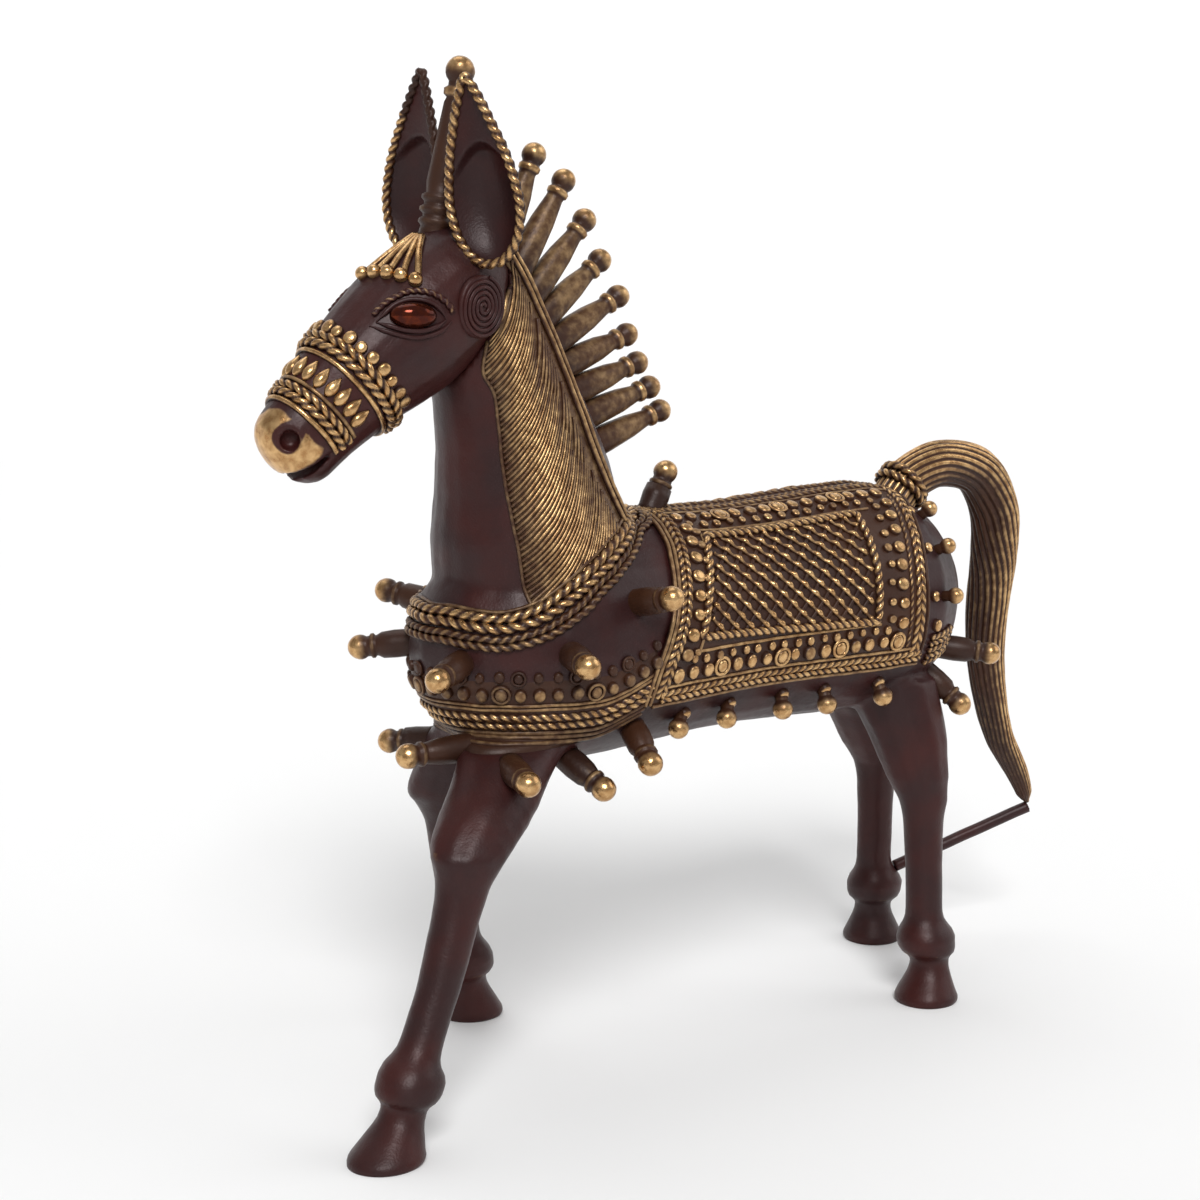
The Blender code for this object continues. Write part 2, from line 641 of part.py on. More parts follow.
def make_crest(head):
    """Post with wound rings, collar and ball between the ears."""
    ring = CREST_RING_HEIGHT
    profile = [(CREST_ROOT_RADIUS, -ROOT_DEPTH)]
    for k in range(CREST_RINGS):
        profile += [(CREST_ROOT_RADIUS, 2 * k * ring), (CREST_ROOT_RADIUS + ring / 2, (2 * k + 1) * ring)]
    profile.append((CREST_SHAFT_RADIUS, 2 * CREST_RINGS * ring))
    profile += peg_profile(CREST_LENGTH, CREST_ROOT_RADIUS, CREST_TIP_RADIUS, CREST_BALL_RADIUS)[1:]
    post = turned("crest_post", profile, LEG_SIDES)
    return aim(post, head.point(CREST_ALONG, 0), Vector((math.sin(CREST_LEAN), 0, math.cos(CREST_LEAN))))


def make_fan(head):
    """Strips that spread from the foot of the post down the forehead, each ending in a ball."""
    fan = None
    for k in range(FAN_STRIPS):
        share = k / (FAN_STRIPS - 1) - 0.5
        top = head.point(FAN_TOP_ALONG, share * FAN_TOP_SPREAD)
        foot = head.point(FAN_BALL_ALONG, share * FAN_SPREAD)
        reach = (foot - top).length
        profile = [(FAN_STRIP_RADIUS, -FAN_BALL_RADIUS), (FAN_STRIP_RADIUS, reach - FAN_BALL_RADIUS)]
        profile += ball_profile(FAN_BALL_RADIUS, reach, BALL_NECK)
        strip = aim(turned(f"fan_strip_{k}", profile, RIM_SIDES), top, foot - top)
        if fan is None:
            fan = strip
            fan.name = "forehead_fan"
        else:
            fit(fan, "UNION", tool(strip))
    return fan


def make_eye(head, label, side):
    """Almond-shaped ball set in the side of the head."""
    eye = turned(f"eye_{label}", ball_profile(0.5, 0, BALL_START, EYE_RINGS), EYE_SIDES)
    eye.data.transform(Matrix.Diagonal((EYE_LENGTH, EYE_HEIGHT, EYE_DEPTH, 1)))
    return aim(eye, *seat_of(head, EYE_ALONG, side * EYE_ANGLE), EYE_LINE)


def make_cheek(head, label, side):
    """Low round boss for the coil on the cheek."""
    profile = [(CHEEK_RADIUS, -ROOT_DEPTH), (CHEEK_RADIUS, CHEEK_EDGE), (CHEEK_TOP_RADIUS, CHEEK_THICKNESS)]
    boss = turned(f"cheek_boss_{label}", profile, CHEEK_SIDES)
    return aim(boss, *seat_of(head, CHEEK_ALONG, side * CHEEK_ANGLE))


def make_spikes(neck):
    """Fan of turned spikes along the crest of the neck."""
    profile = peg_profile(SPIKE_LENGTH, SPIKE_ROOT_RADIUS, PEG_TIP_RADIUS, PEG_BALL_RADIUS)
    spikes = []
    for k in range(SPIKE_COUNT):
        share = k / (SPIKE_COUNT - 1)
        place = (SPIKE_FIRST_PLACE + share * (SPIKE_LAST_PLACE - SPIKE_FIRST_PLACE)) * neck.length
        rise = SPIKE_LAST_RISE + (1 - share) ** 2 * (SPIKE_FIRST_RISE - SPIKE_LAST_RISE)
        direction = Vector((math.cos(rise), 0, math.sin(rise)))
        spike = turned(f"mane_spike_{k + 1}", profile)
        spikes.append(aim(spike, neck.point(place, math.pi), direction, (0, 1, 0)))
    return spikes


def make_body_pegs(torso):
    """Pegs in pairs on shoulders, breast and rump, nearly square to the torso."""
    profile = peg_profile(PEG_LENGTH, PEG_ROOT_RADIUS, PEG_TIP_RADIUS, PEG_BALL_RADIUS)
    pegs = []
    for name, drop, *places in PEG_PAIRS:
        sag = Vector((0, 0, math.tan(math.radians(drop))))
        for label, side, (along, degrees) in zip(("left", "right"), (-1, 1), places):
            angle = side * math.radians(degrees)
            direction = torso.normal(along, angle) - sag
            pegs.append(aim(turned(f"{name}_{label}", profile), torso.point(along, angle), direction, (1, 0, 0)))
    return pegs


def make_low_pegs(torso):
    """Pegs in pairs under the breast band, pointing sideways and down."""
    profile = peg_profile(PEG_LENGTH, PEG_ROOT_RADIUS, PEG_TIP_RADIUS, PEG_BALL_RADIUS)
    pegs = []
    for name, (fore, out, up), along, degrees in LOW_PEG_PAIRS:
        for label, side in (("left", -1), ("right", 1)):
            spot = torso.point(along, side * math.radians(degrees))
            pegs.append(aim(turned(f"{name}_{label}", profile), spot, Vector((fore, -side * out, up)), (1, 0, 0)))
    return pegs


def make_foreleg_pegs(legs):
    """Pegs high on the forelegs."""
    profile = peg_profile(PEG_LENGTH + FORELEG_PEG_SINK, PEG_ROOT_RADIUS, PEG_TIP_RADIUS, PEG_BALL_RADIUS)
    pegs = []
    for name, leg_name, drop, degrees, line in FORELEG_PEGS:
        leg = legs[leg_name]
        spot = leg.point(leg.length - drop, math.radians(degrees), -FORELEG_PEG_SINK)
        pegs.append(aim(turned(name, profile), spot, Vector(line), (0, 1, 0)))
    return pegs


def make_withers_peg(torso):
    """Short peg on the spine, leaning back."""
    profile = peg_profile(WITHERS_PEG_LENGTH, PEG_ROOT_RADIUS, PEG_TIP_RADIUS, PEG_BALL_RADIUS)
    spot = torso.point(WITHERS_PEG_ALONG, 0)
    lean = Vector((math.sin(WITHERS_PEG_LEAN), 0, math.cos(WITHERS_PEG_LEAN)))
    return aim(turned("withers_peg", profile), spot, lean, (0, 1, 0))


def add_knobs(strip, torso, places):
    """Joins a ball to a strip at each (distance, angle) of the torso."""
    lift = SEAT_GAP + FRINGE_THICKNESS + KNOB_RISE
    for k, (along, angle) in enumerate(places):
        knob = tool(turned(f"{strip.name}_knob_{k}", ball_profile(KNOB_RADIUS, 0, BALL_START)))
        aim(knob, torso.point(along, angle, lift), torso.normal(along, angle))
        fit(strip, "UNION", knob)


def torso_layer(torso, name, lift):
    """The torso's surface at a lift, as a body."""
    return torso.body(name, TORSO_RINGS, BODY_SIDES, lift)


def half_prism(name, outline, side):
    """Block with an outline in X and Z that reaches past one side of the body only."""
    return prism(name, outline, side * ROOT_DEPTH, side * 2 * TORSO_WIDTH)


def blanket_rear_edge():
    """Rear edge of the blanket, from its lower corner up."""
    return [(BLANKET_TO, BLANKET_LOW), *placed(BLANKET_REAR_EDGE, RUMP_X)]


def make_blanket(torso, seats):
    """Cloth over the back, a layer cut from the lifted surface."""
    run, rise = BLANKET_CORNER
    corner = [(BLANKET_FROM + run, BLANKET_LOW + rise), (BLANKET_FROM, BLANKET_LOW)]
    outline = placed(BLANKET_FRONT_EDGE, CHEST_X) + corner + blanket_rear_edge()
    blanket = torso_layer(torso, "saddle_blanket", SEAT_GAP + BLANKET_THICKNESS)
    fit(blanket, "INTERSECT", prism("blanket_tool", outline, -2 * TORSO_WIDTH, 2 * TORSO_WIDTH))
    return fit(blanket, "DIFFERENCE", seats["torso"], seats["tail"], seats["collar"])


def make_panel(torso, seats, label, side):
    """Framed field on one side of the blanket, sunk inside its frame."""
    top = 2 * SEAT_GAP + BLANKET_THICKNESS + PANEL_THICKNESS
    outline = placed(PANEL_REAR_EDGE, RUMP_X) + placed(PANEL_FRONT_EDGE, CHEST_X)
    panel = torso_layer(torso, f"saddle_panel_{label}", top)
    fit(panel, "INTERSECT", half_prism(f"panel_{label}_tool", outline, side))
    floor = tool(torso_layer(torso, f"panel_{label}_floor_tool", top - PANEL_RECESS))
    opening = half_prism(f"panel_{label}_field_tool", shrunk(outline, PANEL_FRAME), side)
    fit(opening, "DIFFERENCE", floor)
    return fit(panel, "DIFFERENCE", seats["blanket"], opening)


def make_fringe(torso, seats, label, side):
    """Strip with knobs along the lower edge of the blanket on one side."""
    high = BLANKET_LOW - SEAT_GAP
    low = high - FRINGE_WIDTH
    edge = ((FRINGE_FROM, low), (FRINGE_FROM, high), (FRINGE_TO, high), (FRINGE_TO, low))
    fringe = torso_layer(torso, f"fringe_{label}", SEAT_GAP + FRINGE_THICKNESS)
    fit(fringe, "INTERSECT", half_prism(f"fringe_{label}_tool", edge, side))
    step = (FRINGE_TO - FRINGE_FROM - 2 * KNOB_RADIUS) / FRINGE_KNOBS
    first = FRINGE_FROM + KNOB_RADIUS + KNOB_PLACE * step + TORSO_LENGTH / 2
    add_knobs(fringe, torso, [(first + k * step, side * FRINGE_ANGLE) for k in range(FRINGE_KNOBS)])
    return fit(fringe, "DIFFERENCE", seats["torso"])


def make_rear_fringe(torso, seats, label, side):
    """Strip with knobs along the rear edge of the blanket on one side."""
    inner = [(x + SEAT_GAP, z) for x, z in blanket_rear_edge()[:-1]]
    edge = inner + [(x + FRINGE_WIDTH, z) for x, z in reversed(inner)]
    rear = torso_layer(torso, f"rear_fringe_{label}", SEAT_GAP + FRINGE_THICKNESS)
    fit(rear, "INTERSECT", half_prism(f"rear_fringe_{label}_tool", edge, side))
    turns = np.linspace(REAR_FRINGE_FROM, REAR_FRINGE_TO, REAR_FRINGE_KNOBS)
    heights = [TORSO_MIDDLE + TORSO_HEIGHT / 2 * math.cos(turn) for turn in turns]
    edge_x = np.interp(heights, [z for _, z in inner], [x for x, _ in inner])
    spots = [x + FRINGE_WIDTH + TORSO_LENGTH / 2 for x in edge_x]
    add_knobs(rear, torso, [(along, side * turn) for along, turn in zip(spots, turns)])
    return fit(rear, "DIFFERENCE", seats["torso"], seats["tail"])


def make_breast_band(torso, seats):
    """Band round the chest, open at the back."""
    front = CHEST_X - TORSO_LENGTH
    edge = ((front, BAND_LOW), (front, BAND_HIGH), (BAND_END, BAND_HIGH), (BAND_END, BAND_LOW))
    band = torso_layer(torso, "breast_band", SEAT_GAP + BAND_THICKNESS)
    fit(band, "INTERSECT", prism("breast_band_tool", edge, -2 * TORSO_WIDTH, 2 * TORSO_WIDTH))
    return fit(band, "DIFFERENCE", seats["torso"])


def make_collar(torso, neck, seats):
    """Band round the foot of the neck, over chest and withers."""
    collar = neck.body("neck_collar", NECK_RINGS, NECK_SIDES, SEAT_GAP + COLLAR_THICKNESS)
    fit(collar, "UNION", tool(torso_layer(torso, "collar_chest_tool", SEAT_GAP + COLLAR_THICKNESS)))
    fit(collar, "INTERSECT", collar_slab("collar_tool", 0))
    return fit(collar, "DIFFERENCE", seats["torso"], seats["neck"])


def make_harness(torso, neck, seats):
    """Blanket, panels, fringes, breast band and neck collar."""
    pieces = [make_blanket(torso, seats), make_breast_band(torso, seats), make_collar(torso, neck, seats)]
    for label, side in (("left", -1), ("right", 1)):
        pieces.append(make_panel(torso, seats, label, side))
        pieces.append(make_fringe(torso, seats, label, side))
        pieces.append(make_rear_fringe(torso, seats, label, side))
    return pieces


def collar_slab(name, margin):
    """Tilted slab that bounds the collar, grown by a margin."""
    rise = Vector((-math.sin(COLLAR_TILT), math.cos(COLLAR_TILT)))
    run = Vector((math.cos(COLLAR_TILT), math.sin(COLLAR_TILT)))
    half = COLLAR_WIDTH / 2 + margin
    middle = Vector((COLLAR_X, COLLAR_Z))
    ends = (-TORSO_LENGTH, COLLAR_REAR_REACH + margin)
    places = ((ends[0], -half), (ends[0], half), (ends[1], half), (ends[1], -half))
    corners = [middle + along * run + up * rise for along, up in places]
    return prism(name, [tuple(corner) for corner in corners], -2 * TORSO_WIDTH, 2 * TORSO_WIDTH)


def make_mane(neck, seats):
    """Raised fields on both sides of the neck."""
    fields = []
    outline = placed(MANE_FRONT_EDGE + MANE_REAR_EDGE, CHEST_X)
    for label, side in (("left", -1), ("right", 1)):
        field = neck.body(f"mane_panel_{label}", NECK_RINGS, NECK_SIDES, SEAT_GAP + MANE_THICKNESS)
        block = prism(f"mane_{label}_tool", outline, side * MANE_PARTING / 2, side * TORSO_WIDTH)
        fit(block, "DIFFERENCE", seats["head"], seats["collar"], seats["torso"])
        fit(field, "INTERSECT", block)
        fit(field, "DIFFERENCE", seats["neck"])
        fields.append(field)
    return fields


def make_brace(tail, leg):
    """Thin rod from the tip of the tail to the right hind leg."""
    start = Vector(tail.row(tail.length)[:3])
    stop = Vector(leg.row(leg.length * BRACE_LEG_HEIGHT / (BAND_LOW - SEAT_GAP))[:3])
    profile = [(BRACE_RADIUS, 0), (BRACE_RADIUS, (stop - start).length)]
    return aim(turned("tail_brace", profile), start, stop - start)


def stand(pieces):
    """Parents everything to one root placed so that the box's floor centre is the origin."""
    root = bpy.data.objects.new("horse", None)
    bpy.context.scene.collection.objects.link(root)
    for thing in bpy.data.objects:
        if thing is not root:
            thing.parent = root
    bpy.context.view_layer.update()
    view = bpy.context.evaluated_depsgraph_get()
    corners = []
    for piece in pieces:
        drawn = piece.evaluated_get(view)
        corners += [drawn.matrix_world @ Vector(corner) for corner in drawn.bound_box]
    low = [min(corner[k] for corner in corners) for k in range(3)]
    high = [max(corner[k] for corner in corners) for k in range(3)]
    root.location = (-(low[0] + high[0]) / 2, -(low[1] + high[1]) / 2, -low[2])


def build():
    """Builds every piece."""
    torso, neck, head = torso_sweep(), neck_sweep(), head_sweep()
    tail = tail_sweep(TAIL_FLUTE_DEPTH)
    knee, hock = (KNEE_HEIGHT, KNEE_RADIUS), (HOCK_HEIGHT, HOCK_RADIUS)
    legs = {
        "leg_front_left": leg_sweep(CHEST_X, FRONT_LEFT_STANCE, -1, *knee, FORELEG_TOP_RADIUS),
        "leg_front_right": leg_sweep(CHEST_X, FRONT_RIGHT_STANCE, 1, *knee, FORELEG_TOP_RADIUS),
        "leg_hind_left": leg_sweep(RUMP_X, HIND_LEFT_STANCE, -1, *hock, HINDLEG_TOP_RADIUS),
        "leg_hind_right": leg_sweep(RUMP_X, HIND_RIGHT_STANCE, 1, *hock, HINDLEG_TOP_RADIUS),
    }
    seats = {
        "torso": tool(torso_layer(torso, "torso_tool", SEAT_GAP)),
        "neck": tool(neck.body("neck_tool", NECK_RINGS, NECK_SIDES, SEAT_GAP)),
        "head": tool(head.body("head_tool", HEAD_RINGS, NECK_SIDES, SEAT_GAP)),
        "tail": tool(tail.body("tail_tool", TAIL_RINGS, 2 * TAIL_FLUTES, SEAT_GAP)),
        "collar": collar_slab("collar_zone_tool", SEAT_GAP),
        "blanket": tool(torso_layer(torso, "blanket_top_tool", 2 * SEAT_GAP + BLANKET_THICKNESS)),
        "band": tool(torso_layer(torso, "band_top_tool", 2 * SEAT_GAP + BAND_THICKNESS)),
    }
    dark, bright, red = [], [], []

    dark.append(torso_layer(torso, "torso", 0))
    dark.append(fit(neck.body("neck", NECK_RINGS, NECK_SIDES), "DIFFERENCE", seats["head"], seats["torso"]))
    head_piece = head.body("head", HEAD_RINGS, NECK_SIDES)
    make_head(head, head_piece)
    dark.append(head_piece)
    leg_seats = []
    for name, leg in legs.items():
        dark.append(fit(leg.body(name, AT_STATIONS, LEG_SIDES), "DIFFERENCE", seats["torso"]))
        leg_seats.append(tool(leg.body(f"{name}_tool", AT_STATIONS, LEG_SIDES, SEAT_GAP)))
    dark.append(fit(tail.body("tail", TAIL_RINGS, 2 * TAIL_FLUTES), "DIFFERENCE", seats["torso"]))
    bright.append(fit(make_tail_ring(), "DIFFERENCE", seats["torso"]))
    dark.append(fit(make_brace(tail, legs["leg_hind_right"]), "DIFFERENCE", seats["tail"], leg_seats[3]))

    for label, side, turn in (("left", -1, EAR_TURN_LEFT), ("right", 1, EAR_TURN_RIGHT)):
        ear, rim = make_ear(head, label, side, turn)
        dark.append(fit(ear, "DIFFERENCE", seats["head"], seats["neck"]))
        bright.append(fit(rim, "DIFFERENCE", seats["head"], seats["neck"]))
        red.append(fit(make_eye(head, label, side), "DIFFERENCE", seats["head"]))
        dark.append(fit(make_cheek(head, label, side), "DIFFERENCE", seats["head"], seats["neck"]))
    dark.append(fit(make_crest(head), "DIFFERENCE", seats["head"]))
    bright.append(fit(make_fan(head), "DIFFERENCE", seats["head"]))
    for name, (start, stop) in (("noseband_upper", NOSEBAND_UPPER), ("noseband_lower", NOSEBAND_LOWER)):
        bright.append(head.ring(name, start, stop, SEAT_GAP, SEAT_GAP + NOSEBAND_THICKNESS, NECK_SIDES))

    bright += make_mane(neck, seats)
    bright += [fit(spike, "DIFFERENCE", seats["neck"], seats["head"]) for spike in make_spikes(neck)]
    bright += make_harness(torso, neck, seats)
    bright.append(fit(make_withers_peg(torso), "DIFFERENCE", seats["blanket"]))
    for peg in make_foreleg_pegs(legs):
        bright.append(fit(peg, "DIFFERENCE", *leg_seats[:2], seats["band"]))
    for peg in make_body_pegs(torso):
        bright.append(fit(peg, "DIFFERENCE", seats["torso"], *leg_seats[2:]))
    for peg in make_low_pegs(torso):
        bright.append(fit(peg, "DIFFERENCE", seats["torso"], *leg_seats[:2]))

    for pieces, finish in ((dark, PATINA), (bright, BRIGHT), (red, COPPER)):
        for piece in pieces:
            coat(piece, finish)
    stand(dark + bright + red)


for thing in list(bpy.data.objects):
    bpy.data.objects.remove(thing)
build()
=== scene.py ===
"""Looks of the cast brass horse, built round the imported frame.

Sizes are in millimetres; those with MM beside them, and all points, are in metres."""

import math

import bpy
import bmesh
import numpy as np
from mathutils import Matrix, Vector, noise
from mathutils.bvhtree import BVHTree


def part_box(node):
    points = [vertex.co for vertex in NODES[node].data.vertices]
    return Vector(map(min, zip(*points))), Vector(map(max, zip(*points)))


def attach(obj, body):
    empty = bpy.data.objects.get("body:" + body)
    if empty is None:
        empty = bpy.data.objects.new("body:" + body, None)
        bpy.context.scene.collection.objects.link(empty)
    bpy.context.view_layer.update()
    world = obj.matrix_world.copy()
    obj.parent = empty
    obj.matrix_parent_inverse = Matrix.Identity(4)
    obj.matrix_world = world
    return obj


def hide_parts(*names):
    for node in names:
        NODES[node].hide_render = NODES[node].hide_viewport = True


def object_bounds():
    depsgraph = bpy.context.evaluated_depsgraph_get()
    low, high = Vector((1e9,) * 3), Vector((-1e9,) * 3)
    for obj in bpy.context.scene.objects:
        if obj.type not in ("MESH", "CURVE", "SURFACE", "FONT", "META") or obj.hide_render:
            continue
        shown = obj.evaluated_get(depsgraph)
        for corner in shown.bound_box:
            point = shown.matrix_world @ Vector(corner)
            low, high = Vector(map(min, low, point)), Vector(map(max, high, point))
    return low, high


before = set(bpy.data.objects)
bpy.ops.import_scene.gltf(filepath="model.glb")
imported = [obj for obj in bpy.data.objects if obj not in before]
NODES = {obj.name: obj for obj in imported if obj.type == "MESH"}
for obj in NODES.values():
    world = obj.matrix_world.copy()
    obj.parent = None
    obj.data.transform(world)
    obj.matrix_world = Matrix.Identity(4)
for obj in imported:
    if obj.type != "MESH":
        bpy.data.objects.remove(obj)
CAD_LOW, CAD_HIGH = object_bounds()
noise.seed_set(1)  # the beads stray the same way on every run

MM = 0.001
FULL_TURN = 2 * math.pi
SIDES = (("left", -1), ("right", 1))
RIGHTWARD = Vector((0, 1, 0))

# Places read from the frame
TORSO_LOW, TORSO_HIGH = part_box("torso")
MIDDLE_X = (TORSO_LOW.x + TORSO_HIGH.x) / 2
MIDDLE_Y = (TORSO_LOW.y + TORSO_HIGH.y) / 2
SPINE_Z = (TORSO_LOW.z + TORSO_HIGH.z) / 2

# Skin of the casting
BODY_VOXEL = 1.2 * MM
HEAD_VOXEL = 0.75 * MM
NODE_SWELL = 0.35 * MM  # closes the gaps between the CAD nodes
WELD = 0.01 * MM
BODY_ROUNDS = 14
HEAD_ROUNDS = 12
SMOOTH_IN = 0.5
SMOOTH_OUT = -0.53
HAND_WAVE = 0.22 * MM  # unevenness left by the maker's hand
HAND_WAVE_SCALE = 70.0
HAND_WAVE_FINER = 2.7

# Threads, ropes, beads and sheets
ROPE_SIDES = 10
ROPE_WAIST = 0.48  # share of the radius left in the grooves
ROPE_EDGE = 0.75
BRAID_HALF = 0.92  # a braid's ropes lie this far off its middle, as a share of their radius
WIRE_SIDES = 8
WIRE_END = 0.25  # thickness left at the ends of a tapered wire
BEAD_SIDES = 14
KNOB_SIDES = 16
POST_SIDES = 18
BEAD_CHANCE_SCALE = 900.0
BEAD_STRAY = 0.5 * MM  # how far beads lie off their row
BEAD_SPREAD = 0.22  # unevenness of their size
BEAD_DULLNESS = 0.7  # how much less some are rubbed
BEAD_OVAL = 0.88  # length along the row, as a share of the width across it
SHEET_SINK = 0.8  # how far sheets reach into the casting
HAND_SWAY = 0.16 * MM  # how far hand-laid threads stray sideways
HAND_SWAY_SCALE = 140.0
HAND_DENT = 0.05  # unevenness of turned and modelled beads, as a share of their radius
HAND_DENT_SCALE = 330.0


def at(x, y, z):
    """Point given in millimetres from the torso's middle and the floor."""
    return Vector((MIDDLE_X + x * MM, MIDDLE_Y + y * MM, z * MM))


def unit(rows):
    """Rows scaled to length one."""
    return rows / np.maximum(np.linalg.norm(rows, axis=-1, keepdims=True), 1e-12)


def steps(low, high, count, whole=True):
    """Even steps between two numbers, as plain numbers."""
    return np.linspace(low, high, count, endpoint=whole).tolist()


def turns_of(count):
    """Even turns once round."""
    return FULL_TURN * np.arange(count) / count


def circle(first, second, count):
    """Evenly turned directions from one toward another and on round."""
    return [math.cos(turn) * first + math.sin(turn) * second for turn in turns_of(count).tolist()]


def run_of(points):
    """Distance run at each point of a row."""
    return np.concatenate(([0], np.cumsum(np.linalg.norm(np.diff(points, axis=0), axis=1))))


def resampled(stops, run, rows):
    """Rows at other stops of their run."""
    return np.stack([np.interp(stops, run, column) for column in rows.T], -1)


# Pieces

class Heap:
    """Gathers many small closed forms, with how far each point is rubbed bright, into one piece; on the tail
    that amount also holds a painted highlight.
    """

    def __init__(self):
        self.points, self.polish, self.faces = [], [], []
        self.count = 0

    def add(self, points, polish, *groups):
        """Points with their polish, and groups of faces between them."""
        self.points.append(np.asarray(points, float).reshape(-1, 3))
        self.polish.append(np.asarray(polish, float).ravel())
        for group in groups:
            self.faces += (group + self.count).tolist()
        self.count += len(self.points[-1])

    def tube(self, points, polish, closed=False):
        """Rings of points joined into a tube; an open tube gets a cap at each end."""
        total = points.shape[0] * points.shape[1]
        grid = np.arange(total).reshape(points.shape[:2])
        if closed:
            grid = np.concatenate((grid, grid[:1]))
        onward = np.roll(grid, -1, 1)
        quads = np.stack((grid[:-1], onward[:-1], onward[1:], grid[1:]), -1).reshape(-1, 4)
        if closed:
            self.add(points, polish, quads)
            return
        middles = [points[0].mean(0), points[-1].mean(0)]
        shines = [polish[0].mean(), polish[-1].mean()]
        first = np.stack((onward[0], grid[0], np.full(len(grid[0]), total)), -1)
        last = np.stack((grid[-1], onward[-1], np.full(len(grid[0]), total + 1)), -1)
        points = np.concatenate((points.reshape(-1, 3), middles))
        self.add(points, np.concatenate((polish.ravel(), shines)), quads, first, last)

    def slab(self, top, bottom, polish):
        """Two like grids of points joined round their borders."""
        count = polish.size
        index = np.arange(count).reshape(polish.shape)
        quads = np.stack((index[:-1, :-1], index[:-1, 1:], index[1:, 1:], index[1:, :-1]), -1).reshape(-1, 4)
        border = np.concatenate((index[0, :-1], index[:-1, -1], index[-1, :0:-1], index[:0:-1, 0]))
        onward = np.roll(border, -1)
        wall = np.stack((border, border + count, onward + count, onward), -1)
        shine = np.concatenate((polish.ravel(), np.zeros(count)))
        self.add(np.concatenate((top, bottom)), shine, quads, quads[:, ::-1] + count, wall)

    def sheet(self, rows, lift, shine):
        """Thin sheet over rows of places on a surface, lifted off it a little."""
        spots = np.array([[place[0] for place in row] for row in rows])
        normals = np.array([[place[1] for place in row] for row in rows])
        top = spots + MM * np.reshape(lift, (-1, 1, 1)) * normals
        self.slab(top, spots - SHEET_SINK * MM * normals, np.full(spots.shape[:2], shine))

    def piece(self, name, metal, slot, *replaced):
        """One object of all that was gathered, riding on the casting."""
        mesh = bpy.data.meshes.new(name)
        mesh.from_pydata(np.concatenate(self.points).tolist(), [], self.faces)
        finish_piece(name, mesh, np.concatenate(self.polish), metal, slot, *replaced)


def finish_piece(name, mesh, polish, metal, slot, *replaced):
    """Object of a mesh with its faces turned out, its wear stored and its metal given."""
    layer = mesh.attributes.new("polish", "FLOAT", "POINT")
    layer.data.foreach_set("value", np.asarray(polish, np.float32))
    work = bmesh.new()
    work.from_mesh(mesh)
    bmesh.ops.recalc_face_normals(work, faces=work.faces[:])
    for face in work.faces:
        face.smooth = True
    work.to_mesh(mesh)
    work.free()
    piece = bpy.data.objects.new(name, mesh)
    bpy.context.scene.collection.objects.link(piece)
    mesh.materials.append(metal)
    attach(piece, "root")
    if replaced:
        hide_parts(*replaced)
    return piece


# Skin

def merged_nodes(names):
    """One mesh of the named CAD nodes, each swelled a little so that neighbours run into each other."""
    work = bmesh.new()
    for name in names:
        work.from_mesh(NODES[name].data)
    bmesh.ops.remove_doubles(work, verts=work.verts[:], dist=WELD)
    work.normal_update()
    for vert in work.verts:
        vert.co += NODE_SWELL * vert.normal
    mesh = bpy.data.meshes.new("merged")
    work.to_mesh(mesh)
    work.free()
    return mesh


def remeshed(mesh, voxel):
    """Points, edges and faces of a mesh remade in even quads."""
    thing = bpy.data.objects.new("remesh", mesh)
    bpy.context.scene.collection.objects.link(thing)
    change = thing.modifiers.new("remesh", "REMESH")
    change.mode = "VOXEL"
    change.voxel_size = voxel
    even = bpy.data.meshes.new_from_object(thing.evaluated_get(bpy.context.evaluated_depsgraph_get()))
    bpy.data.objects.remove(thing)
    points = np.zeros(3 * len(even.vertices))
    even.vertices.foreach_get("co", points)
    edges = np.zeros(2 * len(even.edges), int)
    even.edges.foreach_get("vertices", edges)
    faces = [tuple(face.vertices) for face in even.polygons]
    return points.reshape(-1, 3), edges.reshape(-1, 2), faces


def neighbour_mean(points, edges):
    """Mean of each point's neighbours."""
    count = len(points)
    a, b = edges.T
    total = np.empty_like(points)
    for axis in range(3):
        total[:, axis] = np.bincount(a, points[b, axis], count) + np.bincount(b, points[a, axis], count)
    return total / np.bincount(edges.ravel(), minlength=count)[:, None]


def smoothed(points, edges, rounds):
    """Points smoothed without losing volume."""
    for _ in range(rounds):
        for step in (SMOOTH_IN, SMOOTH_OUT):
            points = points + step * (neighbour_mean(points, edges) - points)
    return points


def hand_wave(point):
    """Small uneven rise or fall of the surface at a point."""
    place = Vector(point) * HAND_WAVE_SCALE
    return HAND_WAVE * (noise.noise(place) + 0.5 * noise.noise(place * HAND_WAVE_FINER))


def make_skin(name, nodes, voxel, rounds, shape_at, polish_at, soften_at=None):
    """Smooth skin over some CAD nodes, which it stands for, modelled and rubbed by rules."""
    points, edges, faces = remeshed(merged_nodes(nodes), voxel)
    points = smoothed(points, edges, rounds)
    if soften_at:
        share = soften_at(points)[:, None]
        for _ in range(JOIN_ROUNDS):
            points = points + SMOOTH_IN * share * (neighbour_mean(points, edges) - points)
    mesh = bpy.data.meshes.new(name)
    mesh.from_pydata(points.tolist(), [], faces)
    normals = np.zeros(3 * len(points))
    mesh.vertex_normals.foreach_get("vector", normals)
    normals = normals.reshape(-1, 3)
    lift = np.array([hand_wave(point) for point in points])
    points = points + lift[:, None] * normals + shape_at(points, normals)
    points = np.clip(points, CAD_LOW, CAD_HIGH)
    mesh.vertices.foreach_set("co", points.ravel())
    bulge = ((points - neighbour_mean(points, edges)) * normals).sum(1) / voxel
    return finish_piece(name, mesh, polish_at(points, bulge), PATINA, "patina_brass", *nodes)


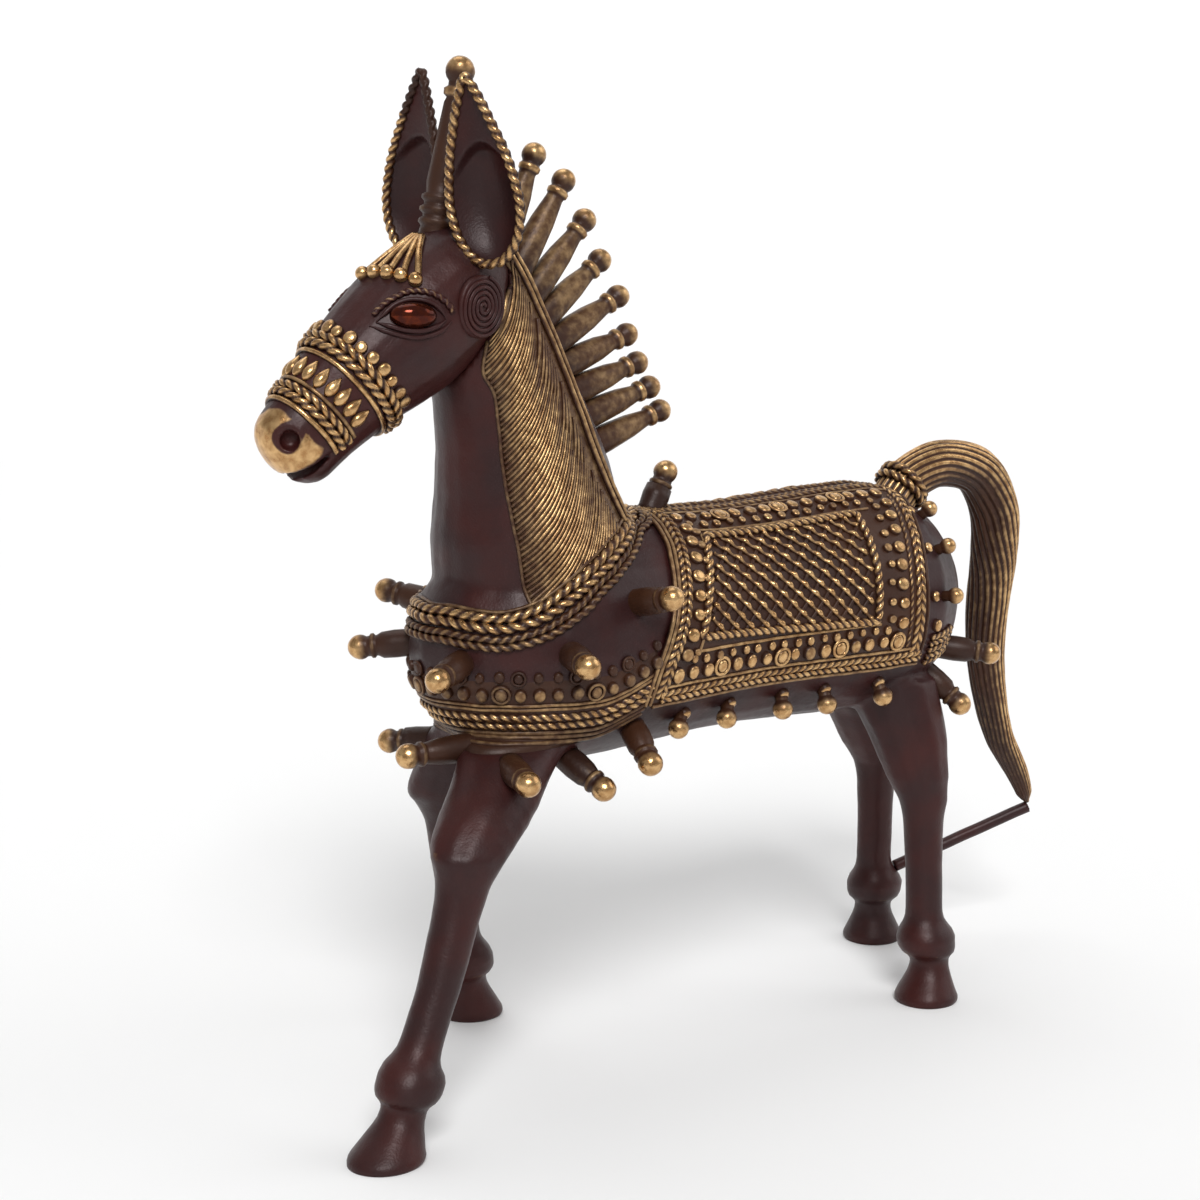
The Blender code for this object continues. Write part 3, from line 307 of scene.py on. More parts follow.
class Skin:
    """Finds places on a finished piece."""

    def __init__(self, piece):
        bpy.context.view_layer.update()
        self.tree = BVHTree.FromObject(piece, bpy.context.evaluated_depsgraph_get())

    def shoot(self, start, direction):
        """Where a ray meets the surface, and the surface's direction there."""
        place = self.tree.ray_cast(start, direction)[:2]
        return self.near(start) if place[0] is None else place

    def near(self, point):
        """Nearest place on the surface, and the surface's direction there."""
        return self.tree.find_nearest(point)[:2]


# Tracks on a surface

def through(points, closed=False, per=12):
    """Smooth row of points through some given ones."""
    points = np.asarray(points, float)
    if closed:
        padded = np.concatenate((points[-1:], points, points[:2]))
    else:
        first = 2 * points[:1] - points[1:2]
        last = 2 * points[-1:] - points[-2:-1]
        padded = np.concatenate((first, points, last))
    row = []
    for k in range(1, len(padded) - 2):
        a, b, c, d = padded[k - 1 : k + 3]
        for u in np.arange(per) / per:
            row.append(0.5 * (2 * b + (c - a) * u + (2 * a - 5 * b + 4 * c - d) * u**2
                              + (3 * b - a - 3 * c + d) * u**3))
    if not closed:
        row.append(points[-1])
    return np.array(row)


def eased(rows, rounds, closed):
    """Rows averaged with their neighbours."""
    for _ in range(rounds):
        if closed:
            rows = (np.roll(rows, 1, 0) + 2 * rows + np.roll(rows, -1, 0)) / 4
        else:
            rows = np.concatenate((rows[:1], (rows[:-2] + 2 * rows[1:-1] + rows[2:]) / 4, rows[-1:]))
    return rows


class Track:
    """Evenly spaced places along a line on a surface, with its tangent, normal and side directions."""

    def __init__(self, places, step, closed=False, ease=3):
        spots = np.array([place[0] for place in places])
        normals = np.array([place[1] for place in places])
        if closed:
            spots = np.concatenate((spots, spots[:1]))
            normals = np.concatenate((normals, normals[:1]))
        run = run_of(spots)
        count = max(4, int(round(run[-1] / (step * MM))))
        self.length = run[-1]
        self.closed = closed
        self.s = np.linspace(0, run[-1], count + 1)
        if closed:
            self.s = self.s[:-1]
        self.p = eased(resampled(self.s, run, spots), ease, closed)
        normal = eased(resampled(self.s, run, normals), 4 * ease, closed)
        if closed:
            self.t = unit(np.roll(self.p, -1, 0) - np.roll(self.p, 1, 0))
        else:
            self.t = unit(np.gradient(self.p, axis=0))
        self.n = unit(normal - (normal * self.t).sum(1, keepdims=True) * self.t)
        self.b = np.cross(self.t, self.n)
        stray = np.array([noise.noise(Vector(spot) * HAND_SWAY_SCALE) for spot in self.p])
        self.p = self.p + HAND_SWAY * stray[:, None] * self.b

    def index(self, run):
        """Number of the place nearest to a run along the track."""
        return int(np.argmin(np.abs(self.s - run)))

    def spokes(self, theta):
        """Directions across the track at some turns from its normal."""
        theta = theta[None, :, None]
        return np.cos(theta) * self.n[:, None] + np.sin(theta) * self.b[:, None]


def rope(heap, track, radius, grain, hand, lift, shine=1.0, shift=0.0):
    """Twisted rope: a two-lobed section that turns along the track."""
    grain = grain * MM
    if track.closed:
        grain = track.length / max(2, 2 * round(track.length / grain / 2))
    theta = turns_of(ROPE_SIDES)
    lobe = np.abs(np.cos(theta[None, :] - hand * math.pi * track.s[:, None] / grain))
    reach = radius * MM * (ROPE_WAIST + (1 - ROPE_WAIST) * lobe**ROPE_EDGE)
    middle = track.p + MM * (lift * track.n + shift * track.b)
    polish = shine * np.clip(0.3 + 0.9 * np.cos(theta), 0, 1)[None, :] * lobe**1.5
    heap.tube(middle[:, None] + reach[..., None] * track.spokes(theta), polish, track.closed)


def braid(heap, track, radius, grain, lift, shine):
    """Two ropes of opposite twist side by side."""
    for hand in (-1, 1):
        rope(heap, track, radius, grain, hand, lift, shine, hand * BRAID_HALF * radius)


def wire(heap, track, radius, lift, shine, taper=False):
    """Round thread along a track."""
    theta = turns_of(WIRE_SIDES)
    middle = track.p + lift * MM * track.n
    reach = np.broadcast_to(radius, len(middle)) * MM
    if taper:
        share = track.s / track.length
        reach = reach * np.clip(6 * np.minimum(share, 1 - share), WIRE_END, 1)
    polish = shine * np.clip(0.1 + 0.95 * np.cos(theta), 0, 1)[None, :] * np.ones((len(middle), 1))
    heap.tube(middle[:, None] + reach[:, None, None] * track.spokes(theta), polish, track.closed)


def turned(heap, spot, axis, profile, sides=BEAD_SIDES, across=None, squeeze=1.0):
    """Body of revolution about an axis from (radius, height, polish) rows; squeeze flattens it across."""
    axis = Vector(axis).normalized()
    x = Vector(across) if across is not None else axis.orthogonal()
    x = (x - x.dot(axis) * axis).normalized()
    spoke = np.array(circle(x, squeeze * axis.cross(x), sides))
    rows = np.asarray(profile, float)
    middles = np.array(spot) + MM * rows[:, 1, None, None] * np.array(axis)
    out = MM * rows[:, 0, None, None] * spoke
    flat = (middles + out).reshape(-1, 3) * HAND_DENT_SCALE
    dent = np.array([noise.noise(Vector(place)) for place in flat]).reshape(len(rows), sides, 1)
    heap.tube(middles + (1 + HAND_DENT * dent) * out, np.repeat(rows[:, 2:3], sides, 1))


def dome(radius, height, shine=1.0):
    """Profile of a bead rubbed flat on top, its foot sunk."""
    rows = ((1.05, -0.5, 0.0), (1.03, 0.1, 0.0), (0.97, 0.5, 0.12), (0.84, 0.8, 0.8), (0.6, 0.95, 1.0),
            (0.3, 1.0, 1.0), (0.05, 1.01, 1.0))
    return [(share * radius, rise * height, shine * polish) for share, rise, polish in rows]


def ball(radius, middle, start, shine=1.0, rings=9):
    """Profile of a ball about a middle height, from an angle above its lowest point, rubbed at its tip."""
    rows = []
    for turn in steps(start, math.pi - 0.05, rings):
        rubbed = min(max(0.55 - 0.75 * math.cos(turn), 0.08), 1.0)
        rows.append((radius * math.sin(turn), middle - radius * math.cos(turn), shine * rubbed))
    return rows


def ring(heap, spot, normal, radius, thread, shine):
    """Round thread laid in a circle."""
    axis = Vector(normal).normalized()
    x = axis.orthogonal().normalized()
    places = [(Vector(spot) + radius * MM * out, axis) for out in circle(x, axis.cross(x), 20)]
    wire(heap, Track(places, 0.8, True, 0), thread, 0, shine)


def beads_along(heap, track, spacing, radius, height, shine, lift, ringed=0):
    """Row of beads along a track; every so many of them lie in a ring of thread."""
    count = max(2, int(round(track.length / (spacing * MM))))
    for k in range(count + (0 if track.closed else 1)):
        index = track.index(track.length * k / count)
        normal, across = track.n[index], track.b[index]
        spot = track.p[index] + lift * MM * normal
        chance = noise.noise_vector(Vector(spot) * BEAD_CHANCE_SCALE)
        spot = spot + BEAD_STRAY * (chance.x * track.t[index] + chance.y * across)
        rubbed = shine * (1 - BEAD_DULLNESS * abs(chance.z))
        size = radius * (1 + BEAD_SPREAD * chance.y)
        turned(heap, spot, normal, dome(size, height, rubbed), BEAD_SIDES, across, BEAD_OVAL)
        if ringed and k % ringed == ringed - 1:
            ring(heap, spot + 0.4 * height * MM * normal, normal, 1.2 * radius, 0.26 * radius, rubbed)


# Metals: dark colour and its spots, spots of the bright colour and that colour

BODY_DARK = ((0.027, 0.010, 0.010), (0.046, 0.0095, 0.008))
GROUND_DARK = ((0.050, 0.018, 0.008), (0.030, 0.012, 0.008))
GOLD = ((0.42, 0.23, 0.095), (0.71, 0.455, 0.215))
COPPER = ((0.04, 0.008, 0.006), (0.15, 0.030, 0.012))
METAL_UNDER_PATINA = 0.12
PATINA_GLOSS = 0.3
GRAIN_ROUGHNESS = 0.2
PIT_DEPTH = 0.25 * MM
BRASS_RELIEF = 0.30
COPPER_RELIEF = 0.06
# Polish at which the metal starts to show and shows in full, and how much the patches add to it
WEAR_OF_BODY = (0.62, 1.25, 0.35)
WEAR_OF_ORNAMENT = (0.5, 1.2, 0.35)
WEAR_OF_EYE = (0.3, 1.2, 0.5)
# Roughness of the patina and of the bare metal
ROUGH_BODY = (0.30, 0.20)
ROUGH_ORNAMENT = (0.32, 0.16)
ROUGH_EYE = (0.02, 0.0)


def node_of(tree, kind, **settings):
    """New shader node with some of its plain settings."""
    node = tree.nodes.new(kind)
    for name, value in settings.items():
        setattr(node, name, value)
    return node


def feed(tree, socket, value):
    """Gives a socket its value, which is another node's socket, a colour or a number."""
    if isinstance(value, bpy.types.NodeSocket):
        tree.links.new(value, socket)
    else:
        socket.default_value = (*value, 1.0) if isinstance(value, tuple) else value


def noise_of(tree, place, scale, detail):
    """Noise over the object's own coordinates."""
    node = node_of(tree, "ShaderNodeTexNoise")
    for name, value in (("Scale", scale), ("Detail", detail), ("Vector", place.outputs["Object"])):
        feed(tree, node.inputs[name], value)
    return node.outputs["Fac"]


def mix_of(tree, share, first, second):
    """Colour between two others by a share."""
    node = node_of(tree, "ShaderNodeMix", data_type="RGBA")
    for index, value in ((0, share), (6, first), (7, second)):
        feed(tree, node.inputs[index], value)
    return node.outputs[2]


def range_of(tree, value, low, high, new_low=0.0, new_high=1.0):
    """Value carried smoothly from one range to another."""
    node = node_of(tree, "ShaderNodeMapRange", interpolation_type="SMOOTHSTEP")
    names = ("Value", "From Min", "From Max", "To Min", "To Max")
    for name, number in zip(names, (value, low, high, new_low, new_high)):
        feed(tree, node.inputs[name], number)
    return node.outputs["Result"]


def math_of(tree, operation, *values):
    """Result of some arithmetic."""
    node = node_of(tree, "ShaderNodeMath", operation=operation)
    for socket, value in zip(node.inputs, values):
        feed(tree, socket, value)
    return node.outputs[0]


def make_metal(name, dark, bright, wear, rough, relief):
    """Cast metal, dark where the patina holds and bright where hands have rubbed it."""
    material = bpy.data.materials.new(name)
    material.use_nodes = True
    tree = material.node_tree
    shader = tree.nodes["Principled BSDF"]
    place = node_of(tree, "ShaderNodeTexCoord")
    worn = node_of(tree, "ShaderNodeAttribute", attribute_name="polish")
    cloud = noise_of(tree, place, 45.0, 5.0)
    grain = noise_of(tree, place, 420.0, 4.0)
    pits = noise_of(tree, place, 1500.0, 3.0)
    start, full, patches = wear
    fine = math_of(tree, "MULTIPLY_ADD", grain, patches, worn.outputs["Fac"])
    share = range_of(tree, math_of(tree, "MULTIPLY_ADD", cloud, patches, fine), start, full)
    low = mix_of(tree, range_of(tree, cloud, 0.35, 0.7), *dark)
    high = mix_of(tree, range_of(tree, grain, 0.3, 0.7), *bright)
    soft = range_of(tree, share, 0.0, 1.0, *rough)
    bump = node_of(tree, "ShaderNodeBump")
    feed(tree, bump.inputs["Strength"], relief)
    feed(tree, bump.inputs["Distance"], PIT_DEPTH)
    feed(tree, bump.inputs["Height"], math_of(tree, "ADD", grain, pits))
    feed(tree, shader.inputs["Base Color"], mix_of(tree, share, low, high))
    feed(tree, shader.inputs["Metallic"], range_of(tree, share, 0.0, 1.0, METAL_UNDER_PATINA))
    feed(tree, shader.inputs["Roughness"], math_of(tree, "MULTIPLY_ADD", grain, GRAIN_ROUGHNESS, soft))
    feed(tree, shader.inputs["Specular IOR Level"], PATINA_GLOSS)
    feed(tree, shader.inputs["Normal"], bump.outputs["Normal"])
    return material


PATINA = make_metal("patina_brass", BODY_DARK, GOLD, WEAR_OF_BODY, ROUGH_BODY, BRASS_RELIEF)
WORN = make_metal("worn_brass", GROUND_DARK, GOLD, WEAR_OF_ORNAMENT, ROUGH_ORNAMENT, BRASS_RELIEF)
EYE_COPPER = make_metal("copper_eye", COPPER, COPPER, WEAR_OF_EYE, ROUGH_EYE, COPPER_RELIEF)


# Head axis, from the nose back and up to the poll

HEAD_PITCH = math.radians(40)
HEAD_LENGTH = 93 * MM
HEAD_BACK = Vector((math.cos(HEAD_PITCH), 0, math.sin(HEAD_PITCH)))
HEAD_UP = Vector((-math.sin(HEAD_PITCH), 0, math.cos(HEAD_PITCH)))
NOSE = at(-79.8, 0, 250.8) - HEAD_LENGTH * HEAD_BACK
NOSE_GOLD = 10.2  # how far back from the nose the bare brass reaches
NOSE_GOLD_BELOW = 5.5  # how far below the axis it reaches
NOSE_GOLD_EDGE = 1.5
NOSE_GOLD_RAGGED = 3.5  # unevenness of its edge
NOSE_GOLD_RAGGED_SCALE = 160
NOSTRIL_ALONG = 5.0 * MM
NOSTRIL_TURN = math.radians(62)
NOSTRIL_FORWARD = 0.5  # how far the nostrils look forward, as a share of outward
NOSTRIL_OUT = 9.6 * MM
NOSTRIL_RADIUS = 3.2 * MM
NOSTRIL_WALL = 1.5 * MM
NOSTRIL_DEPTH = 1.8 * MM
NOSTRIL_REACH = 7.0 * MM
NOSTRIL_DARK = 3.8 * MM
NOSTRIL_DARK_EDGE = 0.8 * MM
NOSTRIL_DARK_RAGGED = 0.3  # its unevenness, as a share of the bare brass's
NOSTRIL_TRAIL = 0.8  # the dark ring reaches farther back than forward by one over this

# How strongly bulges are rubbed, what is taken off that, and the most it comes to
RUB_OF_BODY = (2.2, 0.05, 0.35)
RUB_OF_HEAD = (1.2, 0.0, 0.3)

# Legs below the knee: height and radius, with a sharp ring at the fetlock and a bell-shaped hoof
LEG_NODES = ("leg_front_left", "leg_front_right", "leg_hind_left", "leg_hind_right")
LEG_PROFILE = ((0, 9.8), (0.8, 10.3), (2, 10.3), (3.8, 9.5), (6.3, 8.3), (8.7, 7.2), (10.9, 6.5), (13, 6.3),
               (14.3, 6.6), (15.2, 7.5), (16.2, 8.6), (17.8, 9.2), (21, 9.3), (23.5, 8.5), (25.5, 7.2),
               (27.5, 6.3), (30, 6.0), (45, 6.0), (60, 6.6), (70, 7.2))
# Heights of a leg and how far back its middle moves there
LEG_LEANS = {"leg_front_left": ((0, 3, 11, 26, 45, 60, 72), (-1.8, -1.8, 0, 0, 1.2, 0.8, 0)),
             "leg_hind_left": ((0, 4, 9, 13, 20, 30), (0.5, 0.7, 1.8, 2.2, 0.3, 0))}
LEG_SCULPT_FROM = 74.0  # height above which the legs keep the frame's form
LEG_SCULPT_TO = 58.0
KNEE_TOP = 95.0
LEG_REACH = 18 * MM  # how far from its middle a leg's own points lie
LEG_WALL = 0.8  # share of the half-width beyond which points belong to the wall, not the sole
SOLE_LEVEL = 38.0  # height below which the sections turn from square with the leg to level
FEWEST_ROUND = 5  # a level section of a leg has more points than this
HIND_FETLOCK_BACK = 1.6 * MM
HIND_FETLOCK_HEIGHT = 21.0
HIND_FETLOCK_REACH = 9.0
FORELEGS_END = at(-35, 0, 0).x
KNEES_END = at(-70, 0, 0).x
FORELEG_BACK = 2.6 * MM  # how far the backs of the upper forelegs are filled out
FORELEG_BACK_HEIGHT = 86.0
FORELEG_BACK_REACH = 24.0
KNEE_POINT = 2.6 * MM
KNEE_POINT_HEIGHT = 83.0
KNEE_POINT_ABOVE = 6.0  # how softly the knee's point fades upwards and downwards
KNEE_POINT_BELOW = 5.0
JOIN_HEIGHT = 103.0  # where the forelegs run into the body
JOIN_REACH = 13.0
JOIN_ROUNDS = 60


def leg_sections(name):
    """Heights, middles and half-widths of a leg's level sections below the knee."""
    rows = {}
    for vert in NODES[name].data.vertices:
        rows.setdefault(round(vert.co.z / MM, 1), []).append(vert.co)
    sections = []
    for height in sorted(rows):
        spots = np.array(rows[height])
        if len(spots) > FEWEST_ROUND and height < KNEE_TOP:
            low, high = spots.min(0), spots.max(0)
            sections.append((height, *((low + high) / 2)[:2], *((high - low) / 2)[:2]))
    return np.array(sections).T


def hump(values, middle, reach):
    """One at a middle value, falling evenly to nothing at a reach from it."""
    return np.clip(1 - np.abs(values - middle) / reach, 0, 1)


def shape_of_leg(points, name):
    """How the points of one leg move to take the wished profile below the knee."""
    shift = np.zeros_like(points)
    height = points[:, 2] / MM
    level, x, y, half_x, half_y = leg_sections(name)
    spoke = points[:, :2] - np.stack((np.interp(height, level, x), np.interp(height, level, y)), -1)
    own = (np.linalg.norm(spoke, axis=1) < LEG_REACH) & (height < LEG_SCULPT_FROM)
    wide = np.interp(height, level, half_x)
    deep = np.interp(height, level, half_y)
    out = np.hypot(spoke[:, 0] / wide, spoke[:, 1] / deep)
    slope = np.interp(height, level, np.gradient(x, level * MM))
    square = height + slope * spoke[:, 0] / MM * np.clip(height / SOLE_LEVEL, 0, 1)
    wish = np.interp(square, *np.array(LEG_PROFILE).T) * MM / deep
    scale = np.where(out > LEG_WALL, wish / np.maximum(out, LEG_WALL), wish)
    fade = np.clip((LEG_SCULPT_FROM - height) / (LEG_SCULPT_FROM - LEG_SCULPT_TO), 0, 1)
    shift[own, :2] = ((scale - 1) * fade)[own, None] * spoke[own]
    if "hind" in name:
        behind = np.clip(spoke[:, 0] / (HIND_FETLOCK_REACH * MM), 0, 1)
        bump = hump(height, HIND_FETLOCK_HEIGHT, HIND_FETLOCK_REACH) * behind
        shift[own, 0] += HIND_FETLOCK_BACK * bump[own]
    if name in LEG_LEANS:
        shift[own, 0] += MM * np.interp(height, *LEG_LEANS[name])[own]
    return shift


def shape_of_body(points, normals):
    """Fetlocks, hooves and knees modelled sharper than the frame's, and fuller upper forelegs."""
    shift = sum(shape_of_leg(points, name) for name in LEG_NODES)
    height = points[:, 2] / MM
    above = height - KNEE_POINT_HEIGHT
    near = np.exp(-((above / np.where(above > 0, KNEE_POINT_ABOVE, KNEE_POINT_BELOW)) ** 2))
    front = (points[:, 0] < KNEES_END) * np.clip(-normals[:, 0], 0, 1) ** 3
    fill = hump(height, FORELEG_BACK_HEIGHT, FORELEG_BACK_REACH)
    back = (points[:, 0] < FORELEGS_END) * np.clip(normals[:, 0], 0, 1)
    return shift + (KNEE_POINT * near * front + FORELEG_BACK * fill * back)[:, None] * normals


def soften_body(points):
    """How strongly each point is smoothed further, most where the forelegs run into the body."""
    share = np.clip(2 * hump(points[:, 2] / MM, JOIN_HEIGHT, JOIN_REACH), 0, 1)
    return share * (points[:, 0] < FORELEGS_END)


def nostril_distance(points, trail):
    """Distance of each point from the nearer nostril's axis; distances behind it count for less."""
    distance = np.full(len(points), 1.0)
    for _, side in SIDES:
        out = math.cos(NOSTRIL_TURN) * HEAD_UP + math.sin(NOSTRIL_TURN) * side * RIGHTWARD
        axis = np.array((out - NOSTRIL_FORWARD * HEAD_BACK).normalized())
        offset = points - np.array(NOSE + NOSTRIL_ALONG * HEAD_BACK + NOSTRIL_OUT * out)
        behind = np.clip(offset @ np.array(HEAD_BACK), 0, None)
        offset = offset - (1 - trail) * behind[:, None] * np.array(HEAD_BACK)
        deep = offset @ axis
        across = np.linalg.norm(offset - deep[:, None] * axis, axis=1)
        distance = np.where(np.abs(deep) < NOSTRIL_REACH, np.minimum(distance, across), distance)
    return distance


def shape_of_head(points, normals):
    """Nostrils pressed in."""
    inside = np.clip((NOSTRIL_RADIUS - nostril_distance(points, 1.0)) / NOSTRIL_WALL, 0, 1)
    return -NOSTRIL_DEPTH * inside[:, None] * normals


def rubbed_bulge(bulge, strength, less, most):
    """Polish where the surface bulges."""
    return np.clip(strength * bulge - less, 0, most)


def wear_of_body(points, bulge):
    """The body keeps its patina, rubbed a little where it bulges."""
    return rubbed_bulge(bulge, *RUB_OF_BODY)


def wear_of_head(points, bulge):
    """The nose is rubbed bright above the mouth, with an uneven edge, and the nostrils stay dark."""
    offset = points - np.array(NOSE)
    along = offset @ np.array(HEAD_BACK) / MM
    up = offset @ np.array(HEAD_UP) / MM
    chance = [noise.noise(Vector(point) * NOSE_GOLD_RAGGED_SCALE) for point in points]
    ragged = NOSE_GOLD_RAGGED * np.array(chance)
    nose = np.clip((NOSE_GOLD + ragged - along) / NOSE_GOLD_EDGE, 0, 1)
    nose = nose * np.clip((up + NOSE_GOLD_BELOW) / NOSE_GOLD_EDGE, 0, 1)
    away = nostril_distance(points, NOSTRIL_TRAIL) + NOSTRIL_DARK_RAGGED * ragged * MM
    nose = nose * np.clip((away - NOSTRIL_DARK) / NOSTRIL_DARK_EDGE, 0, 1)
    return np.clip(rubbed_bulge(bulge, *RUB_OF_HEAD) + nose, 0, 1)


BODY_NODES = ("torso", "neck", *LEG_NODES)
BODY = Skin(make_skin("body_skin", BODY_NODES, BODY_VOXEL, BODY_ROUNDS, shape_of_body, wear_of_body,
                      soften_body))
HEAD = Skin(make_skin("head_skin", ("head",), HEAD_VOXEL, HEAD_ROUNDS, shape_of_head, wear_of_head))


# Places on the casting

GIRTH_RADIUS = 35.0
CHEST_PIVOT = -58.0
NECK_CORE = 6.0  # a ray that misses the neck takes the place nearest to this far off its middle
FAR_OUT = 80.0


def flank(x, g, side):
    """Place on the barrel, x along it and g down its side from the spine."""
    turn = g / GIRTH_RADIUS
    return BODY.shoot(at(x, 0, SPINE_Z / MM), Vector((0, side * math.sin(turn), math.cos(turn))))


def flank_track(points, side, step, closed=False):
    """Track through points of the barrel."""
    return Track([flank(x, g, side) for x, g in through(points, closed)], step, closed)


def chest(turn, z):
    """Place round the chest at a height, by the turn in degrees from its front toward the right."""
    angle = math.radians(turn)
    return BODY.shoot(at(CHEST_PIVOT, 0, z), Vector((-math.cos(angle), math.sin(angle), 0)))


def neck_side(x, z, side):
    """Place on the side of the neck as seen from the side."""
    start = at(x, FAR_OUT * side, z)
    spot, normal = BODY.tree.ray_cast(start, -side * RIGHTWARD)[:2]
    if spot is None or abs(spot.y - start.y) > FAR_OUT * MM:
        spot, normal = BODY.near(at(x, NECK_CORE * side, z))
    return spot, normal


def on_head(along, angle):
    """Place on the head, along from the nose, by the angle in degrees from its top toward the right."""
    turn = math.radians(angle)
    out = math.cos(turn) * HEAD_UP + math.sin(turn) * RIGHTWARD
    return HEAD.shoot(NOSE + along * MM * HEAD_BACK + FAR_OUT * MM * out, -out)


def middle_of(name):
    """Middle of a node's box."""
    low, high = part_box(name)
    return (low + high) / 2


def axis_of(name):
    """Foot and tip of a long turned node; the tip is the end farther from the casting."""
    points = np.array([vert.co for vert in NODES[name].data.vertices])
    middle = (points.min(0) + points.max(0)) / 2
    line = np.linalg.svd(points - points.mean(0), full_matrices=False)[2][0]
    reach = (points - middle) @ line
    ends = [Vector(middle + reach.min() * line), Vector(middle + reach.max() * line)]
    ends.sort(key=lambda end: min((end - BODY.near(end)[0]).length, (end - HEAD.near(end)[0]).length))
    return ends


# Saddle blanket: x along the barrel and distance down its side

FRONT_EDGE = ((-27, 0), (-28, 15), (-37, 45), (-47, 67), (-46, 73))
REAR_EDGE = ((79, 0), (79, 8), (72, 25), (67, 45), (66, 73))
BLANKET_DROP = 73.0
BLANKET_LIFT = 0.9
BLANKET_SHEEN = 0.1
BORDER_STEP = 0.45
PANEL = ((-14, 21), (48, 20), (44, 56), (-27, 53))
PANEL_ROPE = 1.45
PANEL_ROPE_LIFT = BLANKET_LIFT + 0.4
PANEL_STOPS = (0.02, 0.06, 0.3, 0.7, 0.94, 0.98)  # close together at the corners


def edge_x(edge, g):
    """Where an edge of the blanket lies at a distance down the side."""
    return np.interp(abs(g), [row[1] for row in edge], [row[0] for row in edge])


def down_row(edge, behind, top, bottom):
    """Points down the blanket, some way behind one of its edges."""
    return [(edge_x(edge, g) + behind, g) for g in steps(top, bottom, 8)]


def level_row(g, front_inset, rear_inset):
    """Points along the blanket at one distance down its side."""
    return [(x, g) for x in steps(edge_x(FRONT_EDGE, g) + front_inset, edge_x(REAR_EDGE, g) - rear_inset, 12)]


# Points, radius and shine
BLANKET_WIRES = (
    (down_row(FRONT_EDGE, 0.2, 2, 72), 0.75, 0.5),
    (down_row(FRONT_EDGE, 1.9, 2, 72), 0.75, 0.5),
    (down_row(FRONT_EDGE, 14.6, 20, 57), 0.6, 0.5),
    (down_row(REAR_EDGE, -0.8, 3, 72), 0.6, 0.25),
    (level_row(7.4, 7, 4), 0.6, 0.5),
    (level_row(18.2, 14, 20), 0.6, 0.5),
    (level_row(57.0, 14, 21), 0.6, 0.6),
    (level_row(66.8, 7.5, 4), 0.6, 0.6),
    (level_row(72.8, 3, 1), 0.7, 0.5),
)
# Points, radius, length of a grain and shine
BLANKET_BRAIDS = (
    (down_row(FRONT_EDGE, 5.0, 2, 70), 1.15, 2.6, 0.8),
    (down_row(REAR_EDGE, -4.2, 3, 69), 1.05, 3.1, 1.0),
    (level_row(4.0, 2, 2), 1.15, 2.8, 0.6),
    (level_row(70.0, 6, 1), 1.15, 2.8, 1.0),
)
REAR_ROPE = down_row(REAR_EDGE, -8.0, 12, 66)
# Points, spacing, radius, height, shine, and how many beads there are to each ringed one
BLANKET_BEADS = (
    (level_row(63.2, 9.5, 13.5), 5.9, 2.3, 1.5, 1.0, 4),
    (level_row(11.2, 9.5, 13.5), 5.9, 2.3, 1.5, 1.0, 4),
    (down_row(FRONT_EDGE, 9.8, 17, 57.5), 6.0, 2.3, 1.5, 1.0, 0),
    (down_row(REAR_EDGE, -11.9, 17, 57.5), 6.0, 2.3, 1.5, 1.0, 0),
    (level_row(59.3, 13.5, 18), 5.4, 1.55, 1.2, 0.8, 0),
    (level_row(15.6, 12, 18), 5.4, 1.55, 1.2, 0.8, 0),
    (down_row(FRONT_EDGE, 13.2, 19, 57), 5.6, 1.55, 1.2, 0.75, 0),
    (down_row(REAR_EDGE, -16.6, 18, 56), 5.6, 1.55, 1.2, 0.75, 0),
)


def make_blanket_ground():
    """Smooth sheet over the back, a little proud of the body."""
    heap = Heap()
    rows = []
    for g in steps(-BLANKET_DROP, BLANKET_DROP, 75):
        xs = steps(edge_x(FRONT_EDGE, g), edge_x(REAR_EDGE, g), 70)
        rows.append([flank(x, abs(g), math.copysign(1, g)) for x in xs])
    heap.sheet(rows, BLANKET_LIFT, BLANKET_SHEEN)
    heap.piece("blanket_ground", WORN, "patina_brass", "saddle_blanket")


def panel_loop():
    """Points round the panel's border."""
    points = []
    for (ax, ag), (bx, bg) in zip(PANEL, PANEL[1:] + PANEL[:1]):
        points += [(ax + share * (bx - ax), ag + share * (bg - ag)) for share in PANEL_STOPS]
    return points


def make_blanket_borders(word, side):
    """Wires, ropes and braids round one side of the blanket, and the rope round its panel."""
    heap = Heap()
    for points, radius, shine in BLANKET_WIRES:
        wire(heap, flank_track(points, side, BORDER_STEP), radius, BLANKET_LIFT, shine)
    for points, radius, grain, shine in BLANKET_BRAIDS:
        braid(heap, flank_track(points, side, BORDER_STEP), radius, grain, BLANKET_LIFT, shine)
    rope(heap, flank_track(REAR_ROPE, side, BORDER_STEP), 0.65, 2.2, 1, BLANKET_LIFT, 0.6)
    rope(heap, flank_track(panel_loop(), side, 0.4, True), PANEL_ROPE, 3.0, 1, PANEL_ROPE_LIFT)
    heap.piece("blanket_border_" + word, WORN, "bright_brass")


def make_blanket_beads(word, side):
    """Rows of beads round the panel, large and small."""
    heap = Heap()
    for points, spacing, radius, height, shine, ringed in BLANKET_BEADS:
        track = flank_track(points, side, 0.5)
        beads_along(heap, track, spacing, radius, height, shine, BLANKET_LIFT, ringed)
    heap.piece("blanket_beads_" + word, WORN, "bright_brass")


# Lattice of the panel

